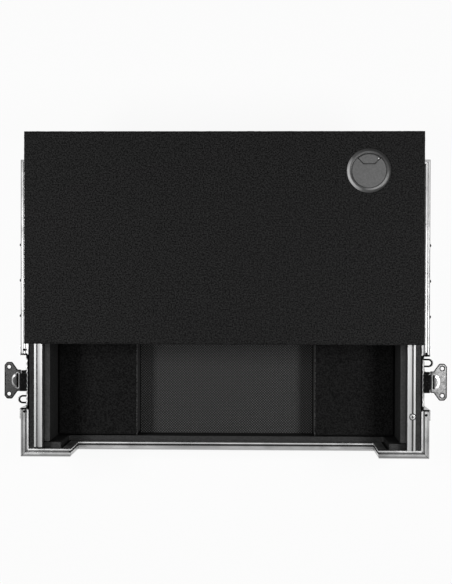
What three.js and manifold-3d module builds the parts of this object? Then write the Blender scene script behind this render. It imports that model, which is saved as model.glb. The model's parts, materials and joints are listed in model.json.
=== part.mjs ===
// An open controller case: a shallow plywood box with a lowered front, aluminium edges,
// butterfly latches, sprung handles and a carpeted laptop platform that glides on two rails.
// Millimetres. +X is the case's right, +Y its back and +Z up from the ground.

import * as THREE from 'three';
import { mergeVertices } from 'three/addons/utils/BufferGeometryUtils.js';
import Module from 'manifold-3d';

const wasm = await Module();
wasm.setup();

// Case body
const CASE_WIDTH = 635;
const CASE_DEPTH = 463;
const BOX_HEIGHT = 150;
const PLY = 9.5;
const GAP = 0.3;
const OVERRUN = 6;

// Lowered middle of the front
const FRONT_DROP = 85;
const FRONT_RETURN = 78.5;

// Aluminium rim
const RIM_OUTER_METAL = 1.2;
const RIM_INNER_METAL = 1.4;
const RIM_OUTER_LEG = 24;
const RIM_INNER_LEG = 14;
const RIM_CROWN = 5;
const RIM_SHOULDER_RUN = 3.2;
const RIM_SHOULDER_DROP = 1.6;
const RIM_GROOVE_START = 6.9;
const RIM_GROOVE_WIDTH = 3;
const RIM_GROOVE_DEPTH = 3;
const RIM_LIP_CHAMFER = 0.5;

// Corner and bottom edges
const EDGE_METAL = RIM_OUTER_METAL;
const EDGE_LEG = 25;

// Ball corners
const BALL_RADIUS = 18.5;
const BALL_INSET = 10;
const BALL_PLATE_LEG = 45;
const BALL_PLATE_METAL = 2;

// Rubber feet
const FOOT_HEIGHT = 14;
const FOOT_TOP_RADIUS = 19;
const FOOT_BOTTOM_RADIUS = 16;
const FOOT_INSET = 60;
const FOOT_WELL_RADIUS = 6.5;
const FOOT_WELL_DEPTH = 9;

// Glide rails and the boards that carry them
const RAIL_METAL = 1.35;
const RAIL_RISE = 5;
const RAIL_WEB = 5;
const RAIL_INNER_LEG = 14;
const RAIL_OUTER_LEG = 7.7;
const RAIL_TO_RIM = 9;
const RAIL_GROOVE_FROM_EDGE = 7.8;
const RAIL_GROOVE_WIDTH = 3;
const RAIL_GROOVE_DEPTH = 3;
const LEFT_RAIL_FRONT_GAP = 3.5;
const RIGHT_RAIL_FRONT_GAP = 0.5;
const RAIL_BACK_GAP = 0.5;

// Foam lining, gear beds and floor mat
const LINING = 10;
const LINING_BELOW_RIM = 18;
const BED_WIDTH = 130.6;
const BED_HEIGHT = 46.2;
const BED_END_GAP = 1.8;
const MAT_THICKNESS = 5;

// Butterfly latches: dish
const LATCH_FROM_FRONT = 116.9;
const LATCH_BELOW_RIM = 30;
const DISH_METAL = 1.5;
const DISH_HALF_WIDTH = 41.5;
const DISH_DEPTH = 9.5;
const DISH_BELOW_AXIS = 42;
const DISH_ABOVE_AXIS = 29.5;
const DISH_FLANGE_METAL = 1.4;
const DISH_FLANGE_HALF_WIDTH = 57.5;
const DISH_FLANGE_BELOW_AXIS = 65;
const DISH_FLANGE_ABOVE_AXIS = 28;
const LOOP_WIRE_RADIUS = 1;
const LOOP_BEND_RADIUS = 5.35;
const LOOP_FROM_AXIS = 30;
const LOOP_REACH = 9.85;

// Butterfly latches: hook
const HOOK_METAL = 2.4;
const HOOK_HALF_WIDTH = 14;
const HOOK_ABOVE_AXIS = 36;
const HOOK_BELOW_AXIS = 12;
const HOOK_CROOK_REACH = 8.7;
const HOOK_TURN_DOWN = 6.4;
const HOOK_SLOT_CLEARANCE = 0.7;
const HOOK_YOKE_CLEARANCE = 1.2;

// Butterfly latches: drum
const SPINDLE_RADIUS = 4;
const CRANK_RADIUS = 3;
const CRANK_THROW = 5;
const DRUM_RADIUS = 16.5;
const DRUM_THICKNESS = 4.5;
const EAR_RADIUS = 3.5;
const EAR_THICKNESS = 3.5;
const WING_AXIS_REACH = 1;

// Butterfly latches: wing
const WING_METAL = 2;
const WING_TIP = 31;
const WING_HALF_WIDTH = 29.1;
const WING_FLARE_END = 19.1;
const WING_ROOT_END = 10.3;
const WING_ROOT_HALF_WIDTH = 16.9;
const WING_NECK_END = 5;
const WING_NECK_HALF_WIDTH = 11.7;
const WING_CORNER_RUN = 4;
const WING_CORNER_CUT = 5;
const WING_HOLE_RADIUS = 3.75;
const WING_HOLE_REACH = 23.7;
const WING_HOLE_FROM_MIDDLE = 21.3;
const WING_SLOT_REACH = 14;
const WING_SLOT_WIDTH = 2;
const WING_SLOT_LENGTH = 21;
const WING_BARREL_RADIUS = 2.2;
const WING_BARREL_HALF_LENGTH = 12;
const WING_PIN_RADIUS = 1.4;
const WING_PIN_HALF_LENGTH = 15;

// Side handles
const HANDLE_TO_LATCH = 21.7;
const HANDLE_METAL = 1.5;
const HANDLE_FLANGE_HALF_WIDTH = 79;
const HANDLE_FLANGE_HALF_HEIGHT = 46;
const HANDLE_WELL_HALF_WIDTH = 65;
const HANDLE_WELL_HALF_HEIGHT = 36;
const HANDLE_WELL_DEPTH = 13.7;
const HANDLE_PIVOT_RISE = 26.5;
const HANDLE_PIVOT_DEPTH = 6;
const HANDLE_EAR_THICKNESS = 7;
const HANDLE_EAR_HALF_HEIGHT = 6;
const HANDLE_EAR_HALF_DEPTH = 6;
const BAIL_RADIUS = 4;
const BAIL_BORE_CLEARANCE = 0.3;
const BAIL_HALF_WIDTH = 50;
const BAIL_STUB_END = 63;
const BAIL_DROP = 46;
const BAIL_BEND = 8;

// Laptop platform and its glide legs
const PLATFORM_SIDE_INSET = 16.5;
const PLATFORM_DEPTH = 320;
const PLATFORM_THICKNESS = 14;
const PLATFORM_EDGE_RADIUS = 3;
const PLATFORM_OVER_RIM = 45;
const PLATFORM_BACK_OVERHANG = 36.7;
const LEG_LENGTH = 290;
const LEG_WEB = 3;
const LEG_FLANGE_WIDTH = 20;
const LEG_FLANGE_THICKNESS = 3;
const LEG_SHOE_WIDTH = 14;
const LEG_SHOE_THICKNESS = 4;
const LEG_TONGUE_DEPTH = 2.5;

// Cable grommet in the platform
const GROMMET_FROM_RIGHT = 83.3;
const GROMMET_FROM_BACK = 59;
const LINER_TUBE_RADIUS = 29.7;
const LINER_BORE_RADIUS = 25;
const LINER_FLANGE_RADIUS = 33.2;
const LINER_FLANGE_RISE = 2;
const LINER_FLANGE_SEAT = 0.8;
const LINER_FLANGE_ROLL = 2.2;
const LINER_LENGTH = 22;
const CAP_RADIUS = 26.9;
const CAP_THICKNESS = 3;
const CAP_RING_WIDTH = 2;
const FLAP_CHORD = 9.3;
const FLAP_CHORD_HALF_WIDTH = 8.8;
const FLAP_CLEARANCE = 0.35;
const FLAP_SWEEP_CLEARANCE = 1.2;
const FLAP_THICKNESS = 2.2;
const FLAP_AXIS_DROP = 4.6;
const FLAP_AXIS_SETBACK = 0.6;
const FLAP_KNUCKLE_RADIUS = 1.3;
const FLAP_PIN_RADIUS = 1;
const LUG_FROM_MIDDLE = 10.2;
const LUG_THICKNESS = 2;
const LUG_RADIUS = 2.2;

// Facets of round shapes
const FINE_SIDES = 48;
const ROUND_SIDES = 24;
const ROD_SIDES = 10;
const BAIL_STEPS = 44;
const LOOP_STEPS = 16;
const EDGE_STEPS = 2;
const MERGE_TOLERANCE = 1e-4;

// Planes that the pieces share
const HALF_WIDTH = CASE_WIDTH / 2;
const HALF_DEPTH = CASE_DEPTH / 2;
const OPENING_HALF_WIDTH = HALF_WIDTH - FRONT_RETURN;
const RIM_WIDTH = RIM_OUTER_METAL + GAP + PLY + GAP + RIM_INNER_METAL;
const WALL_OUT_X = HALF_WIDTH - RIM_OUTER_METAL - GAP;
const WALL_IN_X = WALL_OUT_X - PLY;
const RIM_IN_X = HALF_WIDTH - RIM_WIDTH;
const WALL_OUT_Y = HALF_DEPTH - RIM_OUTER_METAL - GAP;
const WALL_IN_Y = WALL_OUT_Y - PLY;
const RIM_IN_Y = HALF_DEPTH - RIM_WIDTH;
const FLOOR_Z = FOOT_HEIGHT;
const ON_FLOOR_Z = FLOOR_Z + PLY + GAP;
const RIM_Z = FLOOR_Z + BOX_HEIGHT;
const LOW_RIM_Z = RIM_Z - FRONT_DROP;
const PANEL_TO_RIM = RIM_CROWN + GAP;
const EDGE_Z = FLOOR_Z - GAP - EDGE_METAL;
const MITRE_GAP = GAP * Math.SQRT1_2;
const RAIL_WIDTH = PLY + 2 * (RAIL_METAL + GAP);
const RAIL_OUT_X = RIM_IN_X - RAIL_TO_RIM;
const RAIL_IN_X = RAIL_OUT_X - RAIL_WIDTH;
const RAIL_Z = RIM_Z + RAIL_RISE;
const RAIL_GROOVE_X = RAIL_IN_X + RAIL_GROOVE_FROM_EDGE;
const TONGUE_IN_X = RAIL_IN_X + RAIL_METAL + GAP;
const TONGUE_OUT_X = TONGUE_IN_X + PLY;
const LINING_OUT_X = TONGUE_IN_X - GAP;
const LINING_IN_X = LINING_OUT_X - LINING;
const BED_OUT_X = LINING_IN_X - GAP;
const BED_IN_X = BED_OUT_X - BED_WIDTH;
const LINING_OUT_Y = WALL_IN_Y - GAP;
const LINING_IN_Y = LINING_OUT_Y - LINING;
const LATCH_Y = -HALF_DEPTH + LATCH_FROM_FRONT;
const LATCH_Z = RIM_Z - LATCH_BELOW_RIM;
const HANDLE_Y = LATCH_Y + DISH_FLANGE_HALF_WIDTH + HANDLE_TO_LATCH + HANDLE_FLANGE_HALF_WIDTH;
const HANDLE_Z = FLOOR_Z + BOX_HEIGHT / 2;
const PLATFORM_WIDTH = CASE_WIDTH - 2 * PLATFORM_SIDE_INSET;
const PLATFORM_BOTTOM_Z = RIM_Z + PLATFORM_OVER_RIM;
const PLATFORM_BACK_Y = HALF_DEPTH + PLATFORM_BACK_OVERHANG;
const PLATFORM_Y = PLATFORM_BACK_Y - PLATFORM_DEPTH / 2;
const BALL_REACH = GAP + BALL_RADIUS - BALL_INSET;
const CASE_SHIFT_Y = (HALF_DEPTH + BALL_REACH - PLATFORM_BACK_Y) / 2;

// Materials

function finish(color, roughness, metalness = 0) {
  return new THREE.MeshStandardMaterial({ color, roughness, metalness });
}

const laminate = finish(0x1b1b1c, 0.55);
const aluminium = finish(0xc4c6c8, 0.3, 1);
const brightSteel = finish(0xb4b6b9, 0.35, 1);
const darkSteel = finish(0x2a2b2d, 0.45, 1);
const foam = finish(0x343434, 0.95);
const carpet = finish(0x1f1f20, 1);
const matting = finish(0x343435, 0.9);
const rubber = finish(0x151515, 0.8);
const plastic = finish(0x636363, 0.45);

// Shape helpers

const X = new THREE.Vector3(1, 0, 0);
const Y = new THREE.Vector3(0, 1, 0);
const Z = new THREE.Vector3(0, 0, 1);

function solid(geometry) {
  geometry.deleteAttribute('normal');
  geometry.deleteAttribute('uv');
  const merged = mergeVertices(geometry, MERGE_TOLERANCE);
  return new wasm.Manifold(new wasm.Mesh({
    numProp: 3,
    vertProperties: new Float32Array(merged.attributes.position.array),
    triVerts: new Uint32Array(merged.index.array),
  }));
}

function part(name, body, material) {
  const { vertProperties, triVerts, numProp } = body.getMesh();
  const geometry = new THREE.BufferGeometry();
  geometry.setAttribute('position', new THREE.BufferAttribute(vertProperties, numProp));
  geometry.setIndex(new THREE.BufferAttribute(triVerts, 1));
  geometry.computeVertexNormals();
  const mesh = new THREE.Mesh(geometry, material);
  mesh.name = name;
  return mesh;
}

function block([x0, x1], [y0, y1], [z0, z1]) {
  const box = new THREE.BoxGeometry(x1 - x0, y1 - y0, z1 - z0);
  return solid(box.translate((x0 + x1) / 2, (y0 + y1) / 2, (z0 + z1) / 2));
}

// A span of the same reach on both sides of a middle.
function about(middle, reach) {
  return [middle - reach, middle + reach];
}

// A cylinder or cone frustum on the Z axis, from one height to another.
function post([z0, z1], bottomRadius, topRadius = bottomRadius, sides = ROUND_SIDES) {
  const drum = new THREE.CylinderGeometry(topRadius, bottomRadius, z1 - z0, sides);
  return solid(drum.rotateX(Math.PI / 2).translate(0, 0, (z0 + z1) / 2));
}

function pinAlongX([x0, x1], radius, sides = ROUND_SIDES) {
  const pin = new THREE.CylinderGeometry(radius, radius, x1 - x0, sides);
  return solid(pin.rotateZ(Math.PI / 2).translate((x0 + x1) / 2, 0, 0));
}

function pinAlongY([y0, y1], radius, sides = ROUND_SIDES) {
  const pin = new THREE.CylinderGeometry(radius, radius, y1 - y0, sides);
  return solid(pin.translate(0, (y0 + y1) / 2, 0));
}

function outlineShape(outline) {
  return outline instanceof THREE.Shape
    ? outline
    : new THREE.Shape(outline.map(([u, v]) => new THREE.Vector2(u, v)));
}

// A straight bar. Its outline lies in u and v, and it runs along u cross v from one place to
// another. An end that leans shifts along the bar by its lean for each unit of u and of v.
function bar(outline, { origin = new THREE.Vector3(), u, v }, from, to) {
  const unit = new THREE.ExtrudeGeometry(outlineShape(outline), { depth: 1, bevelEnabled: false });
  const run = new THREE.Vector3().crossVectors(u, v);
  const position = unit.attributes.position;
  const point = new THREE.Vector3();
  for (let i = 0; i < position.count; i += 1) {
    const [across, up] = [position.getX(i), position.getY(i)];
    const { at, leanU = 0, leanV = 0 } = position.getZ(i) > 0 ? to : from;
    point.copy(origin).addScaledVector(u, across).addScaledVector(v, up);
    point.addScaledVector(run, at + leanU * across + leanV * up);
    position.setXYZ(i, point.x, point.y, point.z);
  }
  return solid(unit);
}

// A round rod along a chain of corners, each rounded by the bend radius.
function bentRod(corners, bendRadius, rodRadius, steps) {
  const path = new THREE.CurvePath();
  let last = corners[0];
  const straightTo = (next) => {
    if (last.distanceTo(next) > MERGE_TOLERANCE) path.add(new THREE.LineCurve3(last, next));
    last = next;
  };
  corners.slice(1, -1).forEach((corner, i) => {
    const enter = corners[i].clone().sub(corner).setLength(bendRadius).add(corner);
    const leave = corners[i + 2].clone().sub(corner).setLength(bendRadius).add(corner);
    straightTo(enter);
    path.add(new THREE.QuadraticBezierCurve3(enter, corner, leave));
    last = leave;
  });
  straightTo(corners.at(-1));
  const ring = Array.from({ length: ROD_SIDES }, (_, i) => {
    const angle = (2 * Math.PI * i) / ROD_SIDES;
    return [rodRadius * Math.cos(angle), rodRadius * Math.sin(angle)];
  });
  return solid(new THREE.ExtrudeGeometry(outlineShape(ring), { steps, extrudePath: path }));
}

// Plywood panels

const sideFrame = { u: X, v: Z };

function floorPanel() {
  return part('floor_panel', block(about(0, WALL_OUT_X), about(0, WALL_OUT_Y), [FLOOR_Z, FLOOR_Z + PLY]), laminate);
}

// A cross panel between two places on Y, with its top cut low between the opening's sides.
function crossPanel([y0, y1], halfWidth, top, openingHalfWidth, lowTop) {
  const outline = [
    [-halfWidth, ON_FLOOR_Z],
    [halfWidth, ON_FLOOR_Z],
    [halfWidth, top],
    [openingHalfWidth, top],
    [openingHalfWidth, lowTop],
    [-openingHalfWidth, lowTop],
    [-openingHalfWidth, top],
    [-halfWidth, top],
  ];
  return bar(outline, sideFrame, { at: -y1 }, { at: -y0 });
}

function frontWall() {
  const body = crossPanel(
    [-WALL_OUT_Y, -WALL_IN_Y],
    WALL_IN_X - GAP,
    RIM_Z - PANEL_TO_RIM,
    OPENING_HALF_WIDTH + PANEL_TO_RIM,
    LOW_RIM_Z - PANEL_TO_RIM,
  );
  return part('front_wall', body, laminate);
}

function backWall() {
  const body = block(about(0, WALL_IN_X - GAP), [WALL_IN_Y, WALL_OUT_Y], [ON_FLOOR_Z, RIM_Z - PANEL_TO_RIM]);
  return part('back_wall', body, laminate);
}

// The right wall has a slot for the latch dish, open at the top, and a window for the handle.
function sideWall(name) {
  const x = [WALL_IN_X, WALL_OUT_X];
  const cut = [WALL_IN_X - OVERRUN, WALL_OUT_X + OVERRUN];
  const slotY = about(LATCH_Y, DISH_HALF_WIDTH + DISH_METAL + GAP);
  const slotZ = [LATCH_Z - DISH_BELOW_AXIS - DISH_METAL - GAP, RIM_Z + OVERRUN];
  const windowY = about(HANDLE_Y, HANDLE_WELL_HALF_WIDTH + HANDLE_METAL + GAP);
  const windowZ = about(HANDLE_Z, HANDLE_WELL_HALF_HEIGHT + HANDLE_METAL + GAP);
  const body = block(x, about(0, WALL_OUT_Y), [ON_FLOOR_Z, RIM_Z - PANEL_TO_RIM])
    .subtract(block(cut, slotY, slotZ))
    .subtract(block(cut, windowY, windowZ));
  return part(name, body, laminate);
}

// Aluminium rim: u runs in from the outer face and v up from the crown.

function rimSection() {
  const grooveEnd = RIM_GROOVE_START + RIM_GROOVE_WIDTH;
  return [
    [0, -RIM_OUTER_LEG],
    [0, -RIM_SHOULDER_DROP],
    [RIM_SHOULDER_RUN / 4, -RIM_SHOULDER_DROP / 2],
    [RIM_SHOULDER_RUN, 0],
    [RIM_GROOVE_START, 0],
    [RIM_GROOVE_START, -RIM_GROOVE_DEPTH],
    [grooveEnd, -RIM_GROOVE_DEPTH],
    [grooveEnd, -RIM_LIP_CHAMFER],
    [grooveEnd + RIM_LIP_CHAMFER, 0],
    [RIM_WIDTH - RIM_LIP_CHAMFER, 0],
    [RIM_WIDTH, -RIM_LIP_CHAMFER],
    [RIM_WIDTH, -RIM_INNER_LEG],
    [RIM_WIDTH - RIM_INNER_METAL, -RIM_INNER_LEG],
    [RIM_WIDTH - RIM_INNER_METAL, -RIM_CROWN],
    [RIM_OUTER_METAL, -RIM_CROWN],
    [RIM_OUTER_METAL, -RIM_OUTER_LEG],
  ];
}

function corner(x, y, z) {
  return new THREE.Vector3(x, y, z);
}

const leftward = X.clone().negate();
const forward = Y.clone().negate();

// Along each side of the case, from the mitre at one corner to the mitre at the next.
const rimFrames = {
  front: { origin: corner(0, -HALF_DEPTH, RIM_Z), u: Y, v: Z },
  low: { origin: corner(0, -HALF_DEPTH, LOW_RIM_Z), u: Y, v: Z },
  right: { origin: corner(HALF_WIDTH, 0, RIM_Z), u: leftward, v: Z },
  back: { origin: corner(0, HALF_DEPTH, RIM_Z), u: forward, v: Z },
  left: { origin: corner(-HALF_WIDTH, 0, RIM_Z), u: X, v: Z },
  stepLeft: { origin: corner(-OPENING_HALF_WIDTH, -HALF_DEPTH, 0), u: Y, v: X },
  stepRight: { origin: corner(OPENING_HALF_WIDTH, -HALF_DEPTH, 0), u: Y, v: leftward },
};

function rims() {
  const section = rimSection();
  const notch = DISH_HALF_WIDTH + DISH_METAL + GAP;
  const rim = (name, frame, from, to) => part(name, bar(section, rimFrames[frame], from, to), aluminium);
  const [mitreX, mitreY] = [HALF_WIDTH - MITRE_GAP, HALF_DEPTH - MITRE_GAP];
  const stepX = OPENING_HALF_WIDTH + MITRE_GAP;
  return [
    rim('rim_back', 'back', { at: -mitreX, leanU: 1 }, { at: mitreX, leanU: -1 }),
    rim('rim_right_front', 'right', { at: -mitreY, leanU: 1 }, { at: LATCH_Y - notch }),
    rim('rim_right_rear', 'right', { at: LATCH_Y + notch }, { at: mitreY, leanU: -1 }),
    rim('rim_left_rear', 'left', { at: -mitreY, leanU: 1 }, { at: -LATCH_Y - notch }),
    rim('rim_left_front', 'left', { at: -LATCH_Y + notch }, { at: mitreY, leanU: -1 }),
    rim('rim_front_left', 'front', { at: -mitreX, leanU: 1 }, { at: -stepX, leanV: 1 }),
    rim('rim_front_right', 'front', { at: stepX, leanV: -1 }, { at: mitreX, leanU: -1 }),
    rim(
      'rim_step_left',
      'stepLeft',
      { at: -RIM_Z + MITRE_GAP, leanV: -1 },
      { at: -LOW_RIM_Z - MITRE_GAP, leanV: -1 },
    ),
    rim(
      'rim_step_right',
      'stepRight',
      { at: LOW_RIM_Z + MITRE_GAP, leanV: 1 },
      { at: RIM_Z - MITRE_GAP, leanV: 1 },
    ),
    rim(
      'rim_front_center',
      'low',
      { at: -OPENING_HALF_WIDTH + MITRE_GAP, leanV: 1 },
      { at: OPENING_HALF_WIDTH - MITRE_GAP, leanV: -1 },
    ),
  ];
}

// Corner edges, bottom edges, ball corners and feet

function angleSection() {
  return [[0, 0], [EDGE_LEG, 0], [EDGE_LEG, EDGE_METAL], [EDGE_METAL, EDGE_METAL], [EDGE_METAL, EDGE_LEG], [0, EDGE_LEG]];
}

// Each bottom edge is folded up the wall and under the floor panel.
function bottomEdges() {
  const place = (frame) => ({ ...frame, origin: frame.origin.clone().setZ(EDGE_Z) });
  const edge = (name, frame, half) => part(
    name,
    bar(angleSection(), place(rimFrames[frame]), { at: -half, leanU: 1 }, { at: half, leanU: -1 }),
    aluminium,
  );
  return [
    edge('bottom_edge_front', 'front', HALF_WIDTH - MITRE_GAP),
    edge('bottom_edge_back', 'back', HALF_WIDTH - MITRE_GAP),
    edge('bottom_edge_left', 'left', HALF_DEPTH - MITRE_GAP),
    edge('bottom_edge_right', 'right', HALF_DEPTH - MITRE_GAP),
  ];
}

function cornerEdge() {
  const frame = { origin: corner(HALF_WIDTH, HALF_DEPTH, 0), u: leftward, v: forward };
  return bar(angleSection(), frame, { at: EDGE_Z + EDGE_LEG + GAP }, { at: RIM_Z - RIM_OUTER_LEG - GAP });
}

function ballCorner() {
  const [x, y, z] = [HALF_WIDTH + GAP, HALF_DEPTH + GAP, EDGE_Z - GAP];
  const plates = block(
    [x - BALL_PLATE_LEG, x + BALL_PLATE_METAL],
    [y - BALL_PLATE_LEG, y + BALL_PLATE_METAL],
    [z - BALL_PLATE_METAL, z + BALL_PLATE_LEG],
  );
  const ball = solid(new THREE.SphereGeometry(BALL_RADIUS, ROUND_SIDES, ROUND_SIDES / 2));
  const inside = block(
    [x - BALL_PLATE_LEG - OVERRUN, x],
    [y - BALL_PLATE_LEG - OVERRUN, y],
    [z, z + BALL_PLATE_LEG + OVERRUN],
  );
  return plates.add(ball.translate(x - BALL_INSET, y - BALL_INSET, z + BALL_INSET)).subtract(inside);
}

function foot() {
  return post([0, FOOT_HEIGHT - GAP], FOOT_BOTTOM_RADIUS, FOOT_TOP_RADIUS)
    .subtract(post([-OVERRUN, FOOT_WELL_DEPTH], FOOT_WELL_RADIUS))
    .translate(HALF_WIDTH - FOOT_INSET, HALF_DEPTH - FOOT_INSET, 0);
}

// One copy of a corner piece at each corner, mirrored from the one at the back on the right.
function atCorners(name, body, material) {
  const copies = [];
  for (const [side, flipX] of [['left', -1], ['right', 1]]) {
    for (const [end, flipY] of [['front', -1], ['rear', 1]]) {
      const copy = part(`${name}_${end}_${side}`, body, material);
      copy.scale.set(flipX, flipY, 1);
      copies.push(copy);
    }
  }
  return copies;
}

// Foam lining, gear beds and floor mat

function frontLining() {
  const body = crossPanel(
    [-LINING_OUT_Y, -LINING_IN_Y],
    LINING_OUT_X,
    RIM_Z - LINING_BELOW_RIM,
    OPENING_HALF_WIDTH + LINING_BELOW_RIM,
    LOW_RIM_Z - LINING_BELOW_RIM,
  );
  return part('front_lining', body, foam);
}

function backLining() {
  const z = [ON_FLOOR_Z, RIM_Z - LINING_BELOW_RIM];
  return part('back_lining', block(about(0, LINING_OUT_X), [LINING_IN_Y, LINING_OUT_Y], z), foam);
}

function sideLining() {
  const z = [ON_FLOOR_Z, RIM_Z - LINING_BELOW_RIM];
  return block([LINING_IN_X, LINING_OUT_X], about(0, LINING_IN_Y - GAP), z);
}

function gearBed() {
  return block([BED_IN_X, BED_OUT_X], about(0, LINING_IN_Y - BED_END_GAP), [ON_FLOOR_Z, ON_FLOOR_Z + BED_HEIGHT]);
}

function floorMat() {
  const y = about(0, LINING_IN_Y - GAP);
  const body = block(about(0, BED_IN_X - GAP), y, [ON_FLOOR_Z, ON_FLOOR_Z + MAT_THICKNESS]);
  return part('floor_mat', body, matting);
}

// Glide rails: an extrusion capped over a plywood board, with a groove for the platform's legs.

function rail(frontGap) {
  const [inner, outer] = [RAIL_IN_X, RAIL_OUT_X];
  const groove = about(RAIL_GROOVE_X, RAIL_GROOVE_WIDTH / 2);
  const web = RAIL_Z - RAIL_WEB;
  const outline = [
    [inner, RAIL_Z - RAIL_INNER_LEG],
    [inner + RAIL_METAL, RAIL_Z - RAIL_INNER_LEG],
    [inner + RAIL_METAL, web],
    [outer - RAIL_METAL, web],
    [outer - RAIL_METAL, RAIL_Z - RAIL_OUTER_LEG],
    [outer, RAIL_Z - RAIL_OUTER_LEG],
    [outer, RAIL_Z],
    [groove[1], RAIL_Z],
    [groove[1], RAIL_Z - RAIL_GROOVE_DEPTH],
    [groove[0], RAIL_Z - RAIL_GROOVE_DEPTH],
    [groove[0], RAIL_Z],
    [inner, RAIL_Z],
  ];
  return bar(outline, sideFrame, { at: -RIM_IN_Y + RAIL_BACK_GAP }, { at: RIM_IN_Y - frontGap });
}

// The board stands behind the lining, with a packer out to the wall that is relieved for the
// handle's well.
function railBoard() {
  const packerX = RIM_IN_X - GAP;
  const packerTop = RAIL_Z - RAIL_OUTER_LEG - GAP;
  const tongueTop = RAIL_Z - RAIL_WEB - GAP;
  const outline = [
    [TONGUE_IN_X, ON_FLOOR_Z],
    [packerX, ON_FLOOR_Z],
    [packerX, packerTop],
    [TONGUE_OUT_X, packerTop],
    [TONGUE_OUT_X, tongueTop],
    [TONGUE_IN_X, tongueTop],
  ];
  const wellBack = HALF_WIDTH - HANDLE_WELL_DEPTH - HANDLE_METAL - GAP;
  const relief = block(
    [wellBack, packerX + OVERRUN],
    about(HANDLE_Y, HANDLE_WELL_HALF_WIDTH + HANDLE_METAL + GAP),
    about(HANDLE_Z, HANDLE_WELL_HALF_HEIGHT + HANDLE_METAL + GAP),
  );
  const length = RIM_IN_Y - GAP;
  return bar(outline, sideFrame, { at: -length }, { at: length }).subtract(relief);
}

// Butterfly latches. Each is drawn for the right side, from the drum's axis in the wall's
// outer plane: x points out of the case, y along the wall and z up.

function latchDish() {
  const [halfWidth, metal] = [DISH_HALF_WIDTH, DISH_METAL];
  const flangeX = [GAP, GAP + DISH_FLANGE_METAL];
  const shell = block(
    [-DISH_DEPTH - metal, flangeX[1]],
    about(0, halfWidth + metal),
    [-DISH_BELOW_AXIS - metal, DISH_ABOVE_AXIS],
  );
  const flangeY = about(0, DISH_FLANGE_HALF_WIDTH);
  const flange = block(flangeX, flangeY, [-DISH_FLANGE_BELOW_AXIS, DISH_FLANGE_ABOVE_AXIS]);
  const padTop = LATCH_BELOW_RIM - RIM_OUTER_LEG - GAP;
  const pad = block([-RIM_OUTER_METAL, flangeX[1]], flangeY, [-DISH_FLANGE_BELOW_AXIS, padTop]);
  const well = block(
    [-DISH_DEPTH, flangeX[1] + OVERRUN],
    about(0, halfWidth),
    [-DISH_BELOW_AXIS, DISH_ABOVE_AXIS + OVERRUN],
  );
  const [nearY, farY] = about(LOOP_FROM_AXIS, LOOP_BEND_RADIUS);
  const [rootX, tipX] = [-DISH_DEPTH - metal / 2, LOOP_REACH - LOOP_WIRE_RADIUS];
  const loop = bentRod(
    [corner(rootX, nearY, 0), corner(tipX, nearY, 0), corner(tipX, farY, 0), corner(rootX, farY, 0)],
    LOOP_BEND_RADIUS,
    LOOP_WIRE_RADIUS,
    LOOP_STEPS,
  );
  return shell.add(flange).add(pad).subtract(well).add(loop);
}

const hookBack = -DISH_DEPTH + GAP;
const hookFront = hookBack + HOOK_METAL;
const drumBack = hookFront + GAP;
const drumFront = drumBack + DRUM_THICKNESS;

// The hook rides on the drum's crank pin in a cross slot, and its upright slot clears the spindle.
function latchHook() {
  const plate = block(
    [hookBack, hookFront],
    about(0, HOOK_HALF_WIDTH),
    [-HOOK_BELOW_AXIS, HOOK_ABOVE_AXIS],
  );
  const crookTip = hookBack + HOOK_CROOK_REACH;
  const crook = block([hookBack, crookTip], about(0, HOOK_HALF_WIDTH), [HOOK_ABOVE_AXIS - HOOK_METAL, HOOK_ABOVE_AXIS])
    .add(block([crookTip - HOOK_METAL, crookTip], about(0, HOOK_HALF_WIDTH), [HOOK_ABOVE_AXIS - HOOK_TURN_DOWN, HOOK_ABOVE_AXIS]));
  const through = about(hookBack, OVERRUN);
  const crossSlot = block(
    through,
    about(0, CRANK_THROW + CRANK_RADIUS + HOOK_SLOT_CLEARANCE),
    about(CRANK_THROW, CRANK_RADIUS + HOOK_YOKE_CLEARANCE),
  );
  const uprightSlot = block(
    through,
    about(0, SPINDLE_RADIUS + HOOK_SLOT_CLEARANCE),
    about(CRANK_THROW, CRANK_THROW + SPINDLE_RADIUS + HOOK_SLOT_CLEARANCE),
  );
  return plate.add(crook).subtract(crossSlot).subtract(uprightSlot);
}

function latchDrum() {
  const joined = drumBack + DRUM_THICKNESS / 2;
  const spindle = pinAlongX([hookBack, joined], SPINDLE_RADIUS);
  const crank = pinAlongX([hookBack, joined], CRANK_RADIUS).translate(0, 0, CRANK_THROW);
  const disc = pinAlongX([drumBack, drumFront], DRUM_RADIUS, FINE_SIDES);
  const earY = [WING_BARREL_HALF_LENGTH + GAP, WING_BARREL_HALF_LENGTH + GAP + EAR_THICKNESS];
  const ear = block([joined, WING_AXIS_REACH], earY, about(0, EAR_RADIUS))
    .add(pinAlongY(earY, EAR_RADIUS).translate(WING_AXIS_REACH, 0, 0));
  const bore = pinAlongY(about(0, earY[1] + OVERRUN), WING_PIN_RADIUS + GAP).translate(WING_AXIS_REACH, 0, 0);
  return disc.add(spindle).add(crank).add(ear).add(ear.mirror([0, 1, 0])).subtract(bore);
}

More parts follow.
